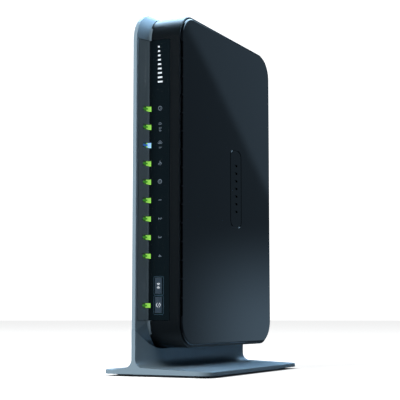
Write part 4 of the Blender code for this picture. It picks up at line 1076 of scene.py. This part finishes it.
class MODEM_OT_stage(bpy.types.Operator):
    """White table, white room, soft lights and the camera"""
    bl_idname = "modem.stage"
    bl_label = "Stage"

    def execute(self, context):
        self.add_table()
        self.add_surround()
        self.add_reflections()
        self.add_lights()
        self.add_camera()
        return {"FINISHED"}

    def add_table(self):
        """A lit white table top: it takes shadows and throws no light back; its glow fades out beneath the
        foot as a painted contact shadow.
        """
        deselect_all()
        bpy.ops.mesh.primitive_plane_add(size=16.0)
        table = bpy.context.object
        table.name = "table"
        table.visible_diffuse = False
        table.visible_glossy = False
        material, tree, shader, place = new_material("white_light_table", linear("F4F5F6"), 0.6)
        shader.inputs["Specular IOR Level"].default_value = 0.0
        shader.inputs["Emission Color"].default_value = (1.0, 1.0, 1.0, 1.0)
        vary_roughness(tree, shader, grain(tree, place, 40 * MM), 0.55, 0.65)
        tree.links.new(self.glow_with_painted_shadow(tree, place), shader.inputs["Emission Strength"])
        table.data.materials.append(material)

    def glow_with_painted_shadow(self, tree, place):
        """The table's light, with a painted contact shadow: none beneath the foot, all of it the fade's
        width away.
        """
        parts = add(tree, "ShaderNodeSeparateXYZ", Vector=place).outputs
        distances = []
        for name, low, high in (("X", STAND_LOW.x, STAND_HIGH.x), ("Y", STAND_LOW.y, STAND_HIGH.y)):
            from_middle = arithmetic(tree, "SUBTRACT", parts[name], (low + high) / 2)
            past = arithmetic(tree, "SUBTRACT", arithmetic(tree, "ABSOLUTE", from_middle, 0.0),
                              (high - low) / 2 - FOOT_EDGE)
            distances.append(arithmetic(tree, "POWER", arithmetic(tree, "MAXIMUM", past, 0.0), 2.0))
        away = arithmetic(tree, "SQRT", arithmetic(tree, "ADD", *distances), 0.0)
        return rise(tree, away, 0.0, PAINTED_SHADOW_FADE, TABLE_LIGHT)

    def add_surround(self):
        """Low even light for the object, and a white sphere that only the camera sees."""
        world = bpy.data.worlds.new("dim_room")
        bpy.context.scene.world = world
        world.use_nodes = True
        light = world.node_tree.nodes["Background"]
        light.inputs["Color"].default_value = (0.92, 0.97, 1.0, 1.0)
        light.inputs["Strength"].default_value = bpy.context.scene.modem_stage.surround
        world.cycles_visibility.glossy = False
        bpy.context.scene.view_settings.view_transform = "Standard"
        backdrop = self.sphere("white_backdrop", 7.9)
        backdrop.visible_diffuse = False
        backdrop.visible_glossy = False
        self.emit(backdrop, (1.0, 1.0, 1.0, 1.0), 1.2)

    def sphere(self, name, radius):
        deselect_all()
        bpy.ops.mesh.primitive_uv_sphere_add(segments=48, ring_count=24, radius=radius)
        sphere = bpy.context.object
        sphere.name = name
        sphere.visible_shadow = False
        sphere.visible_transmission = False
        return sphere

    def emit(self, piece, colour, strength):
        material = bpy.data.materials.new(f"{piece.name}_glow")
        material.use_nodes = True
        tree = material.node_tree
        tree.nodes.remove(tree.nodes["Principled BSDF"])
        glow = add(tree, "ShaderNodeEmission", Color=colour)
        glow.inputs["Strength"].default_value = strength
        tree.links.new(glow.outputs["Emission"], tree.nodes["Material Output"].inputs["Surface"])
        piece.data.materials.append(material)
        return tree, glow.inputs["Strength"]

    def add_reflections(self):
        """A sphere that only shiny surfaces see: a dim room with a card overhead, a faint side,
        a glow near the table and a pale patch with a slanting edge. Its x, y and z run from
        -1 to 1."""
        dome = self.sphere("reflection_dome", DOME)
        dome.visible_camera = False
        dome.visible_diffuse = False
        tree, strength = self.emit(dome, (0.6, 0.9, 1.2, 1.0), 0.1)
        place = add(tree, "ShaderNodeTexCoord").outputs["Object"]
        parts = add(tree, "ShaderNodeSeparateXYZ", Vector=place).outputs
        x, y, z = (arithmetic(tree, "DIVIDE", parts[name], DOME) for name in "XYZ")
        behind = arithmetic(tree, "MULTIPLY", rise(tree, y, 0.3, 0.7, 1.0),
                            rise(tree, x, 0.0, 0.25, 1.0))
        overhead = arithmetic(tree, "MULTIPLY", rise(tree, z, 0.50, 0.66, CARD_LIGHT),
                              rise(tree, y, 0.0, 0.25, 1.0))
        side = arithmetic(tree, "MULTIPLY", rise(tree, x, 0.6, 0.95, SIDE_LIGHT),
                          rise(tree, y, -0.1, 0.25, 1.0))
        low = arithmetic(tree, "MULTIPLY", rise(tree, z, 0.11, -0.01, LOW_LIGHT),
                         rise(tree, x, 0.485, 0.387, 1.0))
        low = arithmetic(tree, "MULTIPLY", low, rise(tree, z, -0.08, -0.03, 1.0))
        low = arithmetic(tree, "MULTIPLY", low, behind)
        slope = arithmetic(tree, "SUBTRACT", z, arithmetic(tree, "MULTIPLY", x, PATCH_SLOPE))
        patch = arithmetic(tree, "MULTIPLY", rise(tree, slope, -0.95, -0.92, PATCH_LIGHT), behind)
        dusk = arithmetic(tree, "MULTIPLY", behind, DUSK_LIGHT)
        total = ROOM_LIGHT
        for part in (dusk, overhead, side, low, patch):
            total = arithmetic(tree, "ADD", part, total)
        tree.links.new(total, strength)

    def add_lights(self):
        """Large soft cards; their own reflections are left to the dome."""
        cards = {"front_card": ((-0.9, -1.7, 0.7), 1.2, 68.0),
                 "right_card": ((1.1, -0.5, 1.5), 0.8, 6.0)}
        for name, (place, size, power) in cards.items():
            deselect_all()
            bpy.ops.object.light_add(type="AREA", location=place)
            light = bpy.context.object
            light.name = name
            light.data.size = size
            light.data.energy = power
            light.data.color = (0.96, 0.99, 1.0)
            light.visible_glossy = False
            towards = Vector((0, 0, 0.1)) - Vector(place)
            light.rotation_euler = towards.to_track_quat("-Z", "Y").to_euler()

    def add_camera(self):
        stage = bpy.context.scene.modem_stage
        place = Vector((LEFT, FRONT, 0)) + Vector(stage.camera_place)
        deselect_all()
        bpy.ops.object.camera_add(location=place, rotation=(math.pi / 2 + stage.camera_rise, 0,
                                                            stage.camera_turn))
        camera = bpy.context.object
        camera.data.lens = stage.lens
        camera.data.sensor_width = 36.0
        camera.data.clip_start = 0.05
        camera.data.clip_end = 20.0
        bpy.context.scene.camera = camera


# ---------------------------------------------------------------- add-on

STEPS = [MODEM_OT_shell, MODEM_OT_frame, MODEM_OT_cover, MODEM_OT_window, MODEM_OT_stand,
         MODEM_OT_lights, MODEM_OT_marks, MODEM_OT_keys, MODEM_OT_finishes, MODEM_OT_stage]


class MODEM_PT_panel(bpy.types.Panel):
    """Lists the pieces in the sidebar"""
    bl_idname = "MODEM_PT_panel"
    bl_label = "Upright cable modem"
    bl_space_type = "VIEW_3D"
    bl_region_type = "UI"
    bl_category = "Modem"

    def draw(self, context):
        for step in STEPS:
            self.layout.operator(step.bl_idname)
        for group in (context.scene.modem_sizes, context.scene.modem_colours,
                      context.scene.modem_stage):
            for name in group.__annotations__:
                self.layout.prop(group, name)


CLASSES = [ModemSizes, ModemColours, ModemStage, *STEPS, MODEM_PT_panel]


def register():
    for entry in CLASSES:
        bpy.utils.register_class(entry)
    bpy.types.Scene.modem_sizes = bpy.props.PointerProperty(type=ModemSizes)
    bpy.types.Scene.modem_colours = bpy.props.PointerProperty(type=ModemColours)
    bpy.types.Scene.modem_stage = bpy.props.PointerProperty(type=ModemStage)


def unregister():
    del bpy.types.Scene.modem_stage
    del bpy.types.Scene.modem_colours
    del bpy.types.Scene.modem_sizes
    for entry in reversed(CLASSES):
        bpy.utils.unregister_class(entry)


def main():
    register()
    FINISHES.update(carried_over_materials())
    bpy.ops.modem.shell()
    bpy.ops.modem.frame()
    bpy.ops.modem.cover()
    bpy.ops.modem.window()
    bpy.ops.modem.stand()
    bpy.ops.modem.lights()
    bpy.ops.modem.marks()
    bpy.ops.modem.keys()
    bpy.ops.modem.finishes()
    bpy.ops.modem.stage()


if __name__ == "__main__":
    main()
